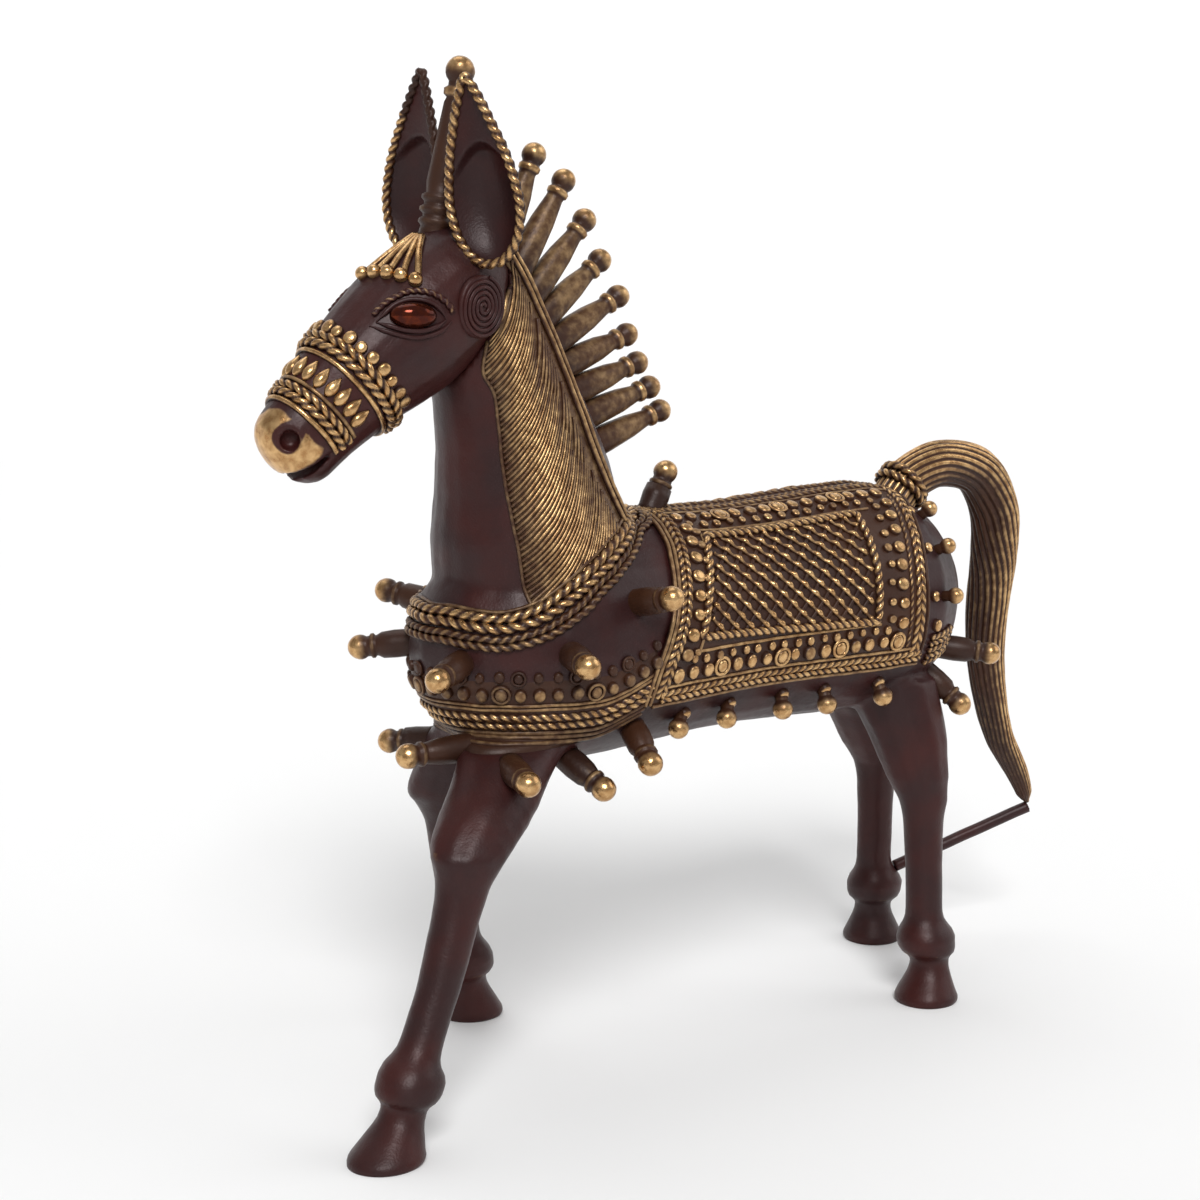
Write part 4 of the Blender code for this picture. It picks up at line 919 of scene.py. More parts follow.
LATTICE_INSET = 0.93  # size of the lattice, as a share of the panel's
LATTICE_GAP = 4.0
LATTICE_CROSS_GAP = 4.6
LATTICE_ROWS = 16  # more than reach the panel on either side of its middle
LATTICE_SHORTEST = 3
LATTICE_DARK = (0.7, BLANKET_LIFT, 0.15)  # radius, lift and shine of the wires below
LATTICE_RADIUS = 0.78
LATTICE_RISE = 0.7  # of the upper wires where they cross the lower ones
SLANT = math.sqrt(0.5)
RISING, FALLING = (SLANT, -SLANT), (SLANT, SLANT)


def clipped(start, step, corners):
    """Stretch of a line inside an outline that bulges everywhere, as two distances from the line's start."""
    low, high = -1e3, 1e3
    for (ax, ag), (bx, bg) in zip(corners, corners[1:] + corners[:1]):
        nx, ng = ag - bg, bx - ax
        rate = nx * step[0] + ng * step[1]
        reach = nx * (start[0] - ax) + ng * (start[1] - ag)
        if rate > 1e-9:
            low = max(low, -reach / rate)
        elif rate < -1e-9:
            high = min(high, -reach / rate)
    return low, high


def lattice_tracks(step, across, gap, side):
    """Wires of the lattice that run one way: how far along each starts, and its track."""
    middle_x, middle_g = np.mean(PANEL, 0).tolist()
    corners = [(middle_x + LATTICE_INSET * (x - middle_x), middle_g + LATTICE_INSET * (g - middle_g))
               for x, g in PANEL]
    tracks = []
    for k in range(-LATTICE_ROWS, LATTICE_ROWS + 1):
        x, g = middle_x + k * gap * across[0], middle_g + k * gap * across[1]
        low, high = clipped((x, g), step, corners)
        if high - low >= LATTICE_SHORTEST:
            stops = steps(low, high, max(3, int(high - low)))
            tracks.append((low, Track([flank(x + t * step[0], g + t * step[1], side) for t in stops], 0.5)))
    return tracks


def make_lattice(word, side):
    """Panel of bright wires running one way over dark ones running the other."""
    heap = Heap()
    for _, track in lattice_tracks(RISING, FALLING, LATTICE_CROSS_GAP, side):
        wire(heap, track, *LATTICE_DARK)
    for low, track in lattice_tracks(FALLING, RISING, LATTICE_GAP, side):
        wave = 0.5 + 0.5 * np.cos(FULL_TURN * (low + track.s / MM) / LATTICE_CROSS_GAP)
        lift = BLANKET_LIFT + LATTICE_RISE * wave[:, None]
        wire(heap, track, LATTICE_RADIUS * (0.75 + 0.4 * wave), lift, 0.4 + 0.6 * wave[:, None])
    heap.piece("saddle_lattice_" + word, WORN, "bright_brass", "saddle_panel_" + word)


# Mane, in the side view

RIDGE = ((-82, 250), (-72, 231), (-64, 213), (-54, 183), (-42, 163))
FRONT = ((-85, 246), (-86.5, 232), (-89.5, 214), (-86.3, 205), (-84.5, 177), (-81, 145))
THREAD_GAP = 1.65  # between threads along the front edge
THREAD_FOOT_GAP = 2.1  # between threads along the collar
THREAD_STRIDE = 1.2
THREAD_STEP = 0.8
THREAD_TOP = 247.0
THREAD_FALL = 100.0
THREAD_LIFT = 0.3
MANE_MARGIN = 0.12  # share of the width left smooth along the ridge
THREAD_NEAREST = 0.66 * MM  # threads end where they come this near to one above
THREAD_FEWEST = 4  # a thread has more places than this
RIDGE_ANGLE = 95.0  # rise of the threads beside the ridge, in degrees
FOOT_ANGLES = ((0, 0.3, 1), (78, 50, 40))  # their rise at the front edge, by how far down it
THREAD_BEND = 1.25
THREAD_FILL = 0.4  # radius of a thread, as a share of the distance to the next
THREAD_THINNEST = 0.24
THREAD_WIDEST = 0.72
THREAD_SHINE = 0.7
SHINE_ALONG = ((0, 0.3, 0.55, 1), (0.4, 1, 1, 0.45))  # share of it, by how far up the thread
MANE_SHEEN = 0.3
MANE_LIFT = 0.12
RIDGE_SHIFTS = ((0, 0), (2.1, 1.26))  # back and up, of the two wires along the ridge
FRONT_SHIFT = 0.4


def even_row(points, count=400):
    """Points at even steps along a smooth line."""
    row = through(points)
    run = run_of(row)
    return resampled(np.linspace(0, run[-1], count), run, row)


MANE_BACK = even_row(RIDGE)
MANE_FORE = even_row(FRONT)


def mane_thread(x, z):
    """Line of a thread from its foot up toward the ridge."""
    line = []
    while z < THREAD_TOP:
        back, fore = (np.interp(z, edge[::-1, 1], edge[::-1, 0]) for edge in (MANE_BACK, MANE_FORE))
        share = (back - x) / (back - fore)
        if share < MANE_MARGIN:
            break
        line.append((x, z))
        foot = np.interp((THREAD_TOP - z) / THREAD_FALL, *FOOT_ANGLES)
        angle = math.radians(foot + (RIDGE_ANGLE - foot) * max(0.0, 1 - share) ** THREAD_BEND)
        x += THREAD_STRIDE * math.cos(angle)
        z += THREAD_STRIDE * math.sin(angle)
    return line


def mane_feet():
    """Feet of the threads, down the front edge and back along the collar."""
    run = run_of(MANE_FORE)[-1]
    feet = MANE_FORE[:: max(1, int(round(len(MANE_FORE) * THREAD_GAP / run)))].tolist()
    low, high = MANE_FORE[-1], MANE_BACK[-1]
    count = int(np.linalg.norm(high - low) / THREAD_FOOT_GAP)
    return feet + [(low + (high - low) * k / count).tolist() for k in range(1, count)]


def mane_tracks(side):
    """Threads of one side, each ending where it would run into one above it."""
    tracks = []
    placed = np.full((1, 3), FAR_OUT)  # a far point to start from
    for foot in mane_feet():
        places = []
        for x, z in mane_thread(*foot):
            spot, normal = neck_side(x, z, side)
            if np.linalg.norm(placed - np.array(spot), axis=1).min() < THREAD_NEAREST:
                break
            places.append((spot, normal))
        if len(places) > THREAD_FEWEST:
            tracks.append(Track(places, THREAD_STEP, False, 2))
            placed = np.concatenate((placed, tracks[-1].p))
    return tracks


def make_mane_ground(heap, side):
    """Thin rubbed sheet under the threads."""
    rows = []
    for k in steps(0, len(MANE_BACK) - 1, 60):
        back, fore = MANE_BACK[int(k)], MANE_FORE[int(k)]
        rows.append([neck_side(*(back + v * (fore - back)), side) for v in steps(0, 1, 16)])
    heap.sheet(rows, MANE_LIFT, MANE_SHEEN)


def make_mane(word, side):
    """Fine threads sweeping from the ridge down to the front edge, with wires along both edges."""
    heap = Heap()
    make_mane_ground(heap, side)
    tracks = mane_tracks(side)
    for k, track in enumerate(tracks):
        gap = np.full(len(track.p), THREAD_WIDEST / THREAD_FILL)
        for other in tracks[max(0, k - 2) : k] + tracks[k + 1 : k + 3]:
            apart = np.linalg.norm(track.p[:, None] - other.p[None, :], axis=2).min(1)
            gap = np.minimum(gap, apart / MM)
        reach = np.clip(eased(THREAD_FILL * gap, 3, False), THREAD_THINNEST, THREAD_WIDEST)
        shine = THREAD_SHINE * np.interp(track.s / track.length, *SHINE_ALONG)
        wire(heap, track, reach, THREAD_LIFT, shine[:, None])
    for back, up in RIDGE_SHIFTS:
        places = [neck_side(x + back, z + up, side) for x, z in MANE_BACK[::8]]
        wire(heap, Track(places, THREAD_STEP), 0.9, 0.6, 0.6)
    places = [neck_side(x - FRONT_SHIFT, z, side) for x, z in MANE_FORE[::8]]
    wire(heap, Track(places, THREAD_STEP), 0.6, 0.3, 0.3)
    heap.piece("mane_threads_" + word, WORN, "bright_brass", "mane_panel_" + word)


# Turned pegs, spikes and crest: radius, share of the length and distance from there, and shine

PEG_ROWS = ((4.4, 0, -2, 0.0), (4.0, 0, 0, 0.0), (4.2, 0.25, 0, 0.06), (4.0, 0.45, 0, 0.12),
            (3.2, 1, -9.2, 0.12), (3.0, 1, -8.7, 0.0), (3.7, 1, -8.1, 0.3), (3.7, 1, -7.3, 0.3),
            (3.1, 1, -6.8, 0.0))
SPIKE_ROWS = ((4.4, 0, -2, 0.0), (4.4, 0, 0, 0.1), (4.3, 0.2, 0, 0.28), (3.6, 0.5, 0, 0.36),
              (2.6, 1, -10.0, 0.3), (2.6, 1, -8.9, 0.15), (3.2, 1, -8.3, 0.55), (3.3, 1, -7.2, 0.55),
              (2.7, 1, -6.5, 0.1))
CREST_FOOT = ((4.6, 0, -2, 0.1), (4.6, 0, 0, 0.1))
CREST_WINDINGS = (1.5, 4.9, 8.3)
CREST_WINDING = ((4.3, 0, 0.1), (5.3, 0.8, 0.2), (5.3, 1.8, 0.2), (4.2, 2.6, 0.1))  # radius, rise and shine
CREST_NECK = ((4.6, 0, 14, 0.1), (3.2, 1, -13.5, 0.12), (2.7, 1, -12, 0.15), (3.6, 1, -11.2, 0.5),
              (3.7, 1, -9.6, 0.5), (2.7, 1, -8.8, 0.15))
CREST_SIDES = 24
# Radius of the ball at the tip, the angle at which it leaves the neck, and its shine
PEG_BALL = (3.75, 0.95, 1.0)
SPIKE_BALL = (3.6, 0.85, 0.8)
CREST_BALL = (4.2, 0.7, 0.75)
# How far the feet and tips of some pegs, and the spikes' tips, back and up, are off the frame's
STILL = ((0, 0, 0), (0, 0, 0))
PEG_SHIFT = {"elbow_peg_left": ((-4, 0, -2), (0, 0, -2)), "chest_peg_right": ((0, 0, 0), (5, 0, 0))}
SPIKE_SHIFT = ((0, -0.8), (0, 2.8), (0, 2.4), (-0.5, 1.6), (1.6, 0.3), (0, -1.6), (-0.5, -1.4), (0, 0),
               (0.5, 0.8))


def post(heap, foot, tip, rows, tip_ball, sides=POST_SIDES):
    """Turned post with a ball at its tip."""
    length = (tip - foot).length / MM
    radius, start, shine = tip_ball
    profile = [(width, share * length + offset, rubbed) for width, share, offset, rubbed in rows]
    turned(heap, foot, tip - foot, profile + ball(radius, length - radius, start, shine), sides)


def make_pegs():
    """Pegs of the breast, shoulders, belly and rump: a dark shaft, a ring and a rubbed ball."""
    heap = Heap()
    names = sorted(name for name in NODES if "_peg" in name)
    for name in names:
        moves = PEG_SHIFT.get(name, STILL)
        foot, tip = (end + MM * Vector(move) for end, move in zip(axis_of(name), moves))
        post(heap, foot, tip, PEG_ROWS, PEG_BALL)
    heap.piece("pegs", WORN, "bright_brass", *names)


def make_spikes():
    """Spikes of the mane: stout roots, slim necks, a collar and a ball."""
    heap = Heap()
    names = sorted(name for name in NODES if name.startswith("mane_spike"))
    for name, (back, up) in zip(names, SPIKE_SHIFT):
        foot, tip = axis_of(name)
        post(heap, foot, tip + MM * Vector((back, 0, up)), SPIKE_ROWS, SPIKE_BALL)
    heap.piece("mane_spikes", WORN, "bright_brass", *names)


def make_crest():
    """Turned post between the ears, wound with wire at its foot, with a collar and a ball on top."""
    heap = Heap()
    rows = list(CREST_FOOT)
    for height in CREST_WINDINGS:
        rows += [(radius, 0, height + rise, shine) for radius, rise, shine in CREST_WINDING]
    post(heap, *axis_of("crest_post"), rows + list(CREST_NECK), CREST_BALL, CREST_SIDES)
    heap.piece("crest_turned", WORN, "bright_brass", "crest_post")


# Collar round the foot of the neck, down its left half

COLLAR = ((-101.5, 0, 143.5), (-99, -7, 143), (-90.2, -21.5, 142), (-77.5, -28.2, 146), (-62, -28, 155.5),
          (-50.5, -25.7, 162.5), (-38, -16, 167), (-30, 0, 169.5))
COLLAR_LOWER = 5.6
COLLAR_INNER = -3.4


def make_collar():
    """Bright braid round the foot of the neck with a darker one below it and a wire above."""
    heap = Heap()
    loop = COLLAR + tuple((x, -y, z) for x, y, z in COLLAR[-2:0:-1])
    spots = through([BODY.near(at(*point))[0] for point in loop], True)
    track = Track([BODY.near(Vector(spot)) for spot in spots], 0.5, True, 8)
    outward = 1 if track.b[0][0] < 0 else -1

    def beside(distance, step, ease):
        beside_track = track.p + outward * distance * MM * track.b
        return Track([BODY.near(Vector(spot)) for spot in beside_track], step, True, ease)

    braid(heap, track, 1.6, 3.6, 0.9, 0.8)
    braid(heap, beside(COLLAR_LOWER, 0.5, 8), 1.25, 3.0, 0.7, 0.45)
    wire(heap, beside(COLLAR_INNER, 0.8, 6), 0.7, 0.2, 0.35)
    heap.piece("collar_braids", WORN, "bright_brass", "neck_collar")


# Breast band

BAND_TURN = 112.0
BAND_LOW, BAND_HIGH = 104.5, 129.5
BAND_STEP_HEIGHT = 126  # the ground above this lies lower
BAND_LIFT = 0.4
BAND_LIFT_ABOVE = -0.3
BAND_SHEEN = 0.05
BAND_RISE = 6.0  # of its ends, toward the blanket's corners
BAND_RISE_FROM = 82.0
BAND_RISE_OVER = 30.0
# Height, spacing, radius, bead height, shine, lift, and how many beads there are to each ringed one
BAND_BEADS = ((126.6, 5.6, 1.7, 1.2, 0.2, 0.1, 3), (121.6, 5.6, 2.1, 1.6, 0.5, BAND_LIFT, 5))
# Height, radius and shine
BAND_WIRES = ((118.2, 0.6, 0.5), (116.9, 0.6, 0.5), (109.2, 0.8, 0.35), (107.6, 0.8, 0.35),
              (106.0, 0.8, 0.35))
# Height and shine
BAND_ROPES = ((114.4, 0.9), (111.6, 0.85))


def band_row(z, count):
    """Places of one row of the breast band, which rises to the blanket's corners."""
    row = []
    for turn in steps(-BAND_TURN, BAND_TURN, count):
        beyond = max(0.0, (abs(turn) - BAND_RISE_FROM) / BAND_RISE_OVER)
        row.append(chest(turn, z + BAND_RISE * beyond**1.5))
    return row


def band_track(z):
    """Track of one row of the breast band."""
    return Track(band_row(z, 61), 0.5, False, 4)


def make_breast_band():
    """Rows of beads, wires and ropes round the chest."""
    heap = Heap()
    heights = steps(BAND_LOW, BAND_HIGH, 16)
    lifts = [BAND_LIFT if z < BAND_STEP_HEIGHT else BAND_LIFT_ABOVE for z in heights]
    heap.sheet([band_row(z, 110) for z in heights], lifts, BAND_SHEEN)
    for z, *sizes in BAND_BEADS:
        beads_along(heap, band_track(z), *sizes)
    for z, radius, shine in BAND_WIRES:
        wire(heap, band_track(z), radius, BAND_LIFT, shine)
    for z, shine in BAND_ROPES:
        rope(heap, band_track(z), 1.35, 2.9, 1, BAND_LIFT, shine)
    heap.piece("breast_rows", WORN, "bright_brass", "breast_band")


# Fringe knobs

FRINGE_X = (-27, -8.5, 13, 30, 52.5)
FRINGE_DROP = 79.5
FRINGE_LEAN = (-0.55, 0.15)  # backward lean of the first knob and of the last
KNOB_BEAD = 2.1
KNOB_BALL = 3.2
KNOB_GAP = 4.6
KNOB_NECK = [(0.75 * KNOB_BALL, -1.0, 0.1), (0.62 * KNOB_BALL, 0.4 * KNOB_GAP, 0.2)]
KNOB = KNOB_NECK + ball(KNOB_BALL, KNOB_GAP, 0.75, 0.95)
REAR_KNOBS = ((79, 20), (77.5, 35), (76, 51.5))
REAR_KNOB = [(1.9, -1.5, 0.1), (1.7, 1.4, 0.2)] + ball(2.7, 3.6, 0.75, 0.95)
REAR_LEAN = Vector((0.35, 0, 0))
REAR_BEAD = (72, 61)
STACK_TOP = 65.0
STACK_GAP = 2.4


def make_fringe(word, side):
    """Knobs hanging below one edge of the blanket: a flat bead with a ball on a short neck beside it."""
    heap = Heap()
    for x in FRINGE_X:
        lean = np.interp(x, (FRINGE_X[0], FRINGE_X[-1]), FRINGE_LEAN)
        out = Vector((lean, 0.4 * side, -0.9)).normalized()
        spot, normal = flank(x, FRINGE_DROP, side)
        turned(heap, spot, normal, dome(KNOB_BEAD, 0.9 * KNOB_BEAD))
        turned(heap, spot + MM * (0.3 * KNOB_GAP * out - normal), out, KNOB, KNOB_SIDES)
    heap.piece("fringe_knobs_" + word, WORN, "bright_brass", "fringe_" + word)


def make_rear_fringe(word, side):
    """Knobs and beads behind the blanket, and a patch of short stacked ropes at its lower corner."""
    heap = Heap()
    for x, g in REAR_KNOBS:
        turned(heap, *flank(x - 5.5, g - 0.5, side), dome(1.8, 1.6))
        spot, normal = flank(x, g, side)
        turned(heap, spot, normal + REAR_LEAN, REAR_KNOB, KNOB_SIDES)
    turned(heap, *flank(*REAR_BEAD, side), dome(2.1, 1.6), BEAD_SIDES, (0, 0, 1), BEAD_OVAL)
    for k in range(5):
        g = STACK_TOP + STACK_GAP * k
        track = flank_track([(70, g), (76, g - 0.5), (82, g - 1)], side, BORDER_STEP)
        rope(heap, track, 1.1, 2.6, 1 if k % 2 else -1, 0.5, 0.8)
    heap.piece("rear_knobs_" + word, WORN, "bright_brass", "rear_fringe_" + word)


# Tail: distance behind the torso, height and radius

TAIL = ((-24, 156, 7.5), (-20.5, 160, 7.5), (-12.5, 167.5, 7.6), (1.5, 172, 7.9), (19.5, 168.5, 8.3),
        (29, 155, 8.5), (29.8, 138.5, 8.1), (27, 118, 7.3), (27.8, 98, 6.4), (33.8, 76, 5.2), (44.5, 59, 4.0),
        (50.5, 47, 2.3))
TAIL_RIDGES = 20
TAIL_SIDES = TAIL_RIDGES * 6
TAIL_GROOVE = 0.16  # depth of the grooves, as a share of the radius
TAIL_SWAY = 1.1  # how far the ridges wander round the tail
TAIL_SWAY_LENGTH = 35.0
TAIL_POINT = 4 * MM
TAIL_ROPES = ((12.0, 1), (14.8, -1))  # run along the tail and hand
BRACE_RADIUS = 2.1
BRACE_SHIFT = Vector((0, 0, -1.6 * MM))


def tail_track():
    """Line of the tail with its radius."""
    rows = through(TAIL)
    rump = (TORSO_HIGH.x - MIDDLE_X) / MM
    track = Track([(at(rump + x, 0, z), RIGHTWARD) for x, z, _ in rows], 0.9, False, 2)
    run = run_of(rows[:, :2])
    return track, np.interp(track.s / track.length, run / run[-1], rows[:, 2]) * MM


def make_tail():
    """Tail with ridges running its whole length, their crests rubbed bright, with a painted highlight on its
    upper and rear sides.
    """
    heap = Heap()
    track, radius = tail_track()
    theta = turns_of(TAIL_SIDES)
    chance = [noise.noise(Vector((0.3, 0.7, s / MM / TAIL_SWAY_LENGTH))) for s in track.s]
    crest = np.abs(np.cos(0.5 * TAIL_RIDGES * (theta[None, :] + TAIL_SWAY * np.array(chance)[:, None])))
    end = np.clip((track.length - track.s) / TAIL_POINT, 0.15, 1)
    reach = radius[:, None] * (1 - TAIL_GROOVE + TAIL_GROOVE * crest**0.5) * end[:, None] ** 0.5
    out = track.spokes(theta)
    # painted highlight: the polish is raised on the tail's upper side and its side toward the back, and
    # lowered on the others; the crests themselves are rubbed bright
    upper = np.clip(0.6 + 0.6 * out[..., 2] + 0.5 * out[..., 0], 0.22, 1)
    heap.tube(track.p[:, None] + reach[..., None] * out, upper * np.clip(2.0 * crest - 0.7, 0, 1))
    heap.piece("tail_ridged", WORN, "bright_brass", "tail")


def make_tail_ring():
    """Rope rings round the root of the tail."""
    heap = Heap()
    track, radius = tail_track()
    for run, hand in TAIL_ROPES:
        k = track.index(run * MM)
        outs = circle(track.n[k], track.b[k], 40)
        places = [(track.p[k] + 1.03 * radius[k] * out, out) for out in outs]
        rope(heap, Track(places, 0.45, True, 0), 1.5, 3.2, hand, 0.4, 0.85)
    heap.piece("tail_ropes", WORN, "bright_brass", "tail_ring")


def make_brace():
    """Thin rod from the tail's tip to the right hind leg."""
    heap = Heap()
    foot, tip = (end + BRACE_SHIFT for end in axis_of("tail_brace"))
    places = [(foot + (tip - foot) * share, RIGHTWARD) for share in steps(0, 1, 12)]
    wire(heap, Track(places, 1.0, False, 0), BRACE_RADIUS, 0, 0.5)
    heap.piece("brace_rod", PATINA, "patina_brass", "tail_brace")


# Ears, by side

EAR_LENGTH = {-1: 53.0, 1: 52.5}
EAR_HALF = {-1: 10.8, 1: 12.6}
EAR_SHIFT = {-1: (1.5, -2.1, -2.5), 1: (0, 0, 0)}
EAR_FORWARD = {-1: 0.07, 1: 0.0}  # how far each leans forward, per length
EAR_TURN = {-1: math.radians(27), 1: math.radians(-3)}
EAR_LEAN = math.radians(9.5)
EAR_CUP = 7.0
EAR_WALL = 2.2
EAR_TIP = 0.004  # the leaf's width is never taken nearer to its ends than this
EAR_LIP = 0.64
EAR_LIP_DROP = 0.18  # how much lower the lip lies at the ear's edges
EAR_LIP_EDGE = 0.035
EAR_SHALLOW = 0.22  # depth of the cup above the lip, as a share of that below
EAR_ROWS, EAR_COLUMNS = 80, 34
EAR_ROPE = 1.5
EAR_ROPE_ENDS = (0.01, 0.985)
EAR_INNER_SHINE = 0.15  # the far ear's rope is only rubbed on its outer side


class Ear:
    """Cupped leaf standing on the head."""

    def __init__(self, word, side):
        points = [vert.co for vert in NODES["ear_" + word].data.vertices]
        self.foot = min(points, key=lambda point: point.z) + MM * Vector(EAR_SHIFT[side])
        self.length, self.half = EAR_LENGTH[side], EAR_HALF[side]
        self.up = Vector((-EAR_FORWARD[side], -side * math.sin(EAR_LEAN), math.cos(EAR_LEAN)))
        turn = EAR_TURN[side]
        self.facing = Vector((-math.cos(turn), side * math.sin(turn), 0))
        self.across = self.up.cross(self.facing)

    def spot(self, u, v, front):
        """Point of the leaf's front or back, u up it and v across it."""
        half = self.half * math.sin(math.pi * min(max(u, EAR_TIP), 1 - EAR_TIP) ** 0.6) ** 0.9
        round_off = (1 - v * v) * half / self.half
        hollow = (EAR_CUP + EAR_WALL) * round_off
        if front:
            lip = EAR_LIP - EAR_LIP_DROP * abs(v) ** 2.5
            open_share = min(max((lip - u) / EAR_LIP_EDGE, 0), 1)
            hollow = EAR_CUP * round_off * (EAR_SHALLOW + (1 - EAR_SHALLOW) * open_share)
        return self.foot + MM * (u * self.length * self.up + v * half * self.across - hollow * self.facing)


def make_ear(word, side):
    """One ear, with a deep cup under a pointed lip, and the rope round it."""
    ear = Ear(word, side)
    heap = Heap()
    us, vs = steps(0, 1, EAR_ROWS), steps(-1, 1, EAR_COLUMNS)
    front, back = (np.array([[ear.spot(u, v, face) for v in vs] for u in us]) for face in (True, False))
    heap.slab(front, back, np.zeros((EAR_ROWS, EAR_COLUMNS)))
    heap.piece("ear_leaf_" + word, PATINA, "patina_brass", "ear_" + word)
    heap = Heap()
    us = steps(*EAR_ROPE_ENDS, 40)
    edge = [ear.spot(u, -1, True) for u in us] + [ear.spot(u, 1, True) for u in us[::-1]]
    track = Track([(spot, ear.facing) for spot in edge], 0.45, True, 4)
    shine = np.ones((len(track.s), 1))
    if side > 0:
        shine[track.p[:, 1] < ear.foot.y] = EAR_INNER_SHINE
    rope(heap, track, EAR_ROPE, 2.95, side, 0, shine)
    heap.piece("ear_rope_" + word, WORN, "bright_brass", "ear_rim_" + word)


# Eyes and cheeks: lines are given along and up from the eye's middle

BROW = ((-11.5, 1.0), (-9, 3.4), (-5, 5.9), (0, 7.2), (5, 6.6), (9, 4.2), (11.5, 1.2))
LID_UPPER = ((-10.5, -1.6), (-8, 0.8), (-4.5, 3.5), (0, 4.6), (5, 3.7), (8, 1.4), (9.6, -1.0))
LID_LOWER = ((-10.5, -1.6), (-6.5, -3.0), (-2, -4.2), (3, -4.1), (7, -2.8), (9.6, -1.0))
LID_OUTER = ((-12.5, -2.4), (-8, -4.3), (-2, -5.9), (3, -5.9), (8, -4.2), (11.5, -1.4))
# Line, radius, lift and shine
LIDS = ((LID_UPPER, 0.75, 0.5, 0.2), (LID_LOWER, 0.75, 0.4, 0.2), (LID_OUTER, 0.65, 0.3, 0.15))
EYE_LINE = (1, 0, -0.1)
EYE_LONG, EYE_HIGH, EYE_DEEP = 6.6, 3.7, 4.0
EYE_ROWS, EYE_SIDES = 20, 32
EYE_POLISH = 0.4
COIL_TURNS = 5.2
COIL_START = 0.5
COIL_SPREAD = 7.2
COIL_TALL = 1.12  # height of the coil, as a share of its width
COIL_RISE = 1.1  # of its middle
COIL_ROUND = 9.0  # where that rise would reach nothing
DISC_RADIUS = 7.9
DISC_BELOW = 0.1
DISC_FOOT = 2.5
DISC_ROWS, DISC_SIDES = 12, 40


def tangent_frame(normal, line):
    """Two directions on the surface, the first nearest to a line, the second upwards."""
    first = Vector(line)
    first = (first - first.dot(normal) * normal).normalized()
    second = normal.cross(first)
    return first, second if second.z >= 0 else -second


def make_eye(word, side):
    """Copper eyeball between lids, under a twisted brow."""
    spot, normal = HEAD.near(middle_of("eye_" + word))
    along, up = tangent_frame(normal, EYE_LINE)
    heap = Heap()
    outs = circle(EYE_HIGH * up, EYE_DEEP * normal, EYE_SIDES)
    rows = []
    for turn in steps(0.02, math.pi - 0.02, EYE_ROWS):
        rows.append([spot + MM * (math.sin(turn) * out - EYE_LONG * math.cos(turn) * along) for out in outs])
    heap.tube(np.array(rows), np.full((EYE_ROWS, EYE_SIDES), EYE_POLISH))
    heap.piece("eyeball_" + word, EYE_COPPER, "copper_red_brass", "eye_" + word)
    heap = Heap()

    def row(points):
        spots = through(points).tolist()
        return Track([HEAD.near(spot + MM * (a * along + b * up)) for a, b in spots], 0.4)

    rope(heap, row(BROW), 0.95, 2.1, 1, 0.5, 0.45)
    for line, radius, lift, shine in LIDS:
        wire(heap, row(line), radius, lift, shine, True)
    heap.piece("eyelids_" + word, PATINA, "patina_brass")


def coil_height(reach):
    """Height of the coil at a distance from its middle."""
    return COIL_RISE * math.sqrt(max(0.0, 1 - (reach / COIL_ROUND) ** 2))


def make_cheek(word, side):
    """Coil of thread on the cheek, on a low disc."""
    heap = Heap()
    spot, normal = HEAD.near(middle_of("cheek_boss_" + word))
    along, up = tangent_frame(normal, (1, 0, 0))
    places = []
    for share in steps(0, 1, 260):
        turn = share * COIL_TURNS * FULL_TURN
        reach = COIL_START + COIL_SPREAD * share
        out = math.cos(turn) * along + COIL_TALL * math.sin(turn) * up
        places.append((spot + MM * (reach * out + coil_height(reach) * normal), normal))
    wire(heap, Track(places, 0.6, False, 0), 0.62, 0, 0.25)
    outs = circle(along, COIL_TALL * up, DISC_SIDES)
    rows = []
    for reach in steps(DISC_RADIUS, 0.02 * DISC_RADIUS, DISC_ROWS):
        height = coil_height(reach) - DISC_BELOW
        rows.append([spot + MM * (reach * out + height * normal) for out in outs])
    foot = [point - DISC_FOOT * MM * normal for point in rows[0]]
    heap.tube(np.array([foot] + rows), np.zeros((DISC_ROWS + 1, DISC_SIDES)))
    heap.piece("cheek_coil_" + word, PATINA, "patina_brass", "cheek_boss_" + word)


# Forehead and nose

FAN_TURNS = (-27, -13.5, 0, 13.5, 27)
FAN_LEAN = (-8, -22)  # how far its top and its foot sit toward the left, in degrees
FAN_TOP = 75
FAN_FOOT = 58.5  # how far along the head the middle strip ends
FAN_SLANT = 0.09  # how much less far the strips end per degree of turn to the right
FAN_CLOSE = 0.25  # share of their turn at the top
FAN_BALL = [(1.9, -1, 0.1)] + ball(2.1, 0.9, 1.2)
DROP_ALONG = 23.4
DROP_COUNT = 14
DROP_LENGTH = 7.2
DROP_HALF = 1.75
DROP_LIFT = 0.3
DROP_FLAT = 0.8
DROP_ROWS, DROP_SIDES = 12, 14


def make_fan():
    """Strips spreading down the forehead to balls."""
    heap = Heap()
    for turn in FAN_TURNS:
        foot = FAN_FOOT - FAN_SLANT * turn
        stops = zip(steps(FAN_TOP, foot + 1, 14), steps(*FAN_LEAN, 14), steps(FAN_CLOSE, 1.0, 14))
        places = [on_head(along, lean + turn * spread) for along, lean, spread in stops]
        wire(heap, Track(places, 0.6, False, 2), 1.0, 0.5, 1.0)
        turned(heap, *on_head(foot, FAN_LEAN[1] + turn), FAN_BALL, KNOB_SIDES)
    heap.piece("fan_strips", WORN, "bright_brass", "forehead_fan")


def head_loop(along, reach):
    """Track round the head as far as an angle on either side of its top, closed if it goes all round."""
    closed = reach >= 180
    turns = steps(-reach, reach, 72, not closed)
    return Track([on_head(along, turn) for turn in turns], 0.4, closed, 5)


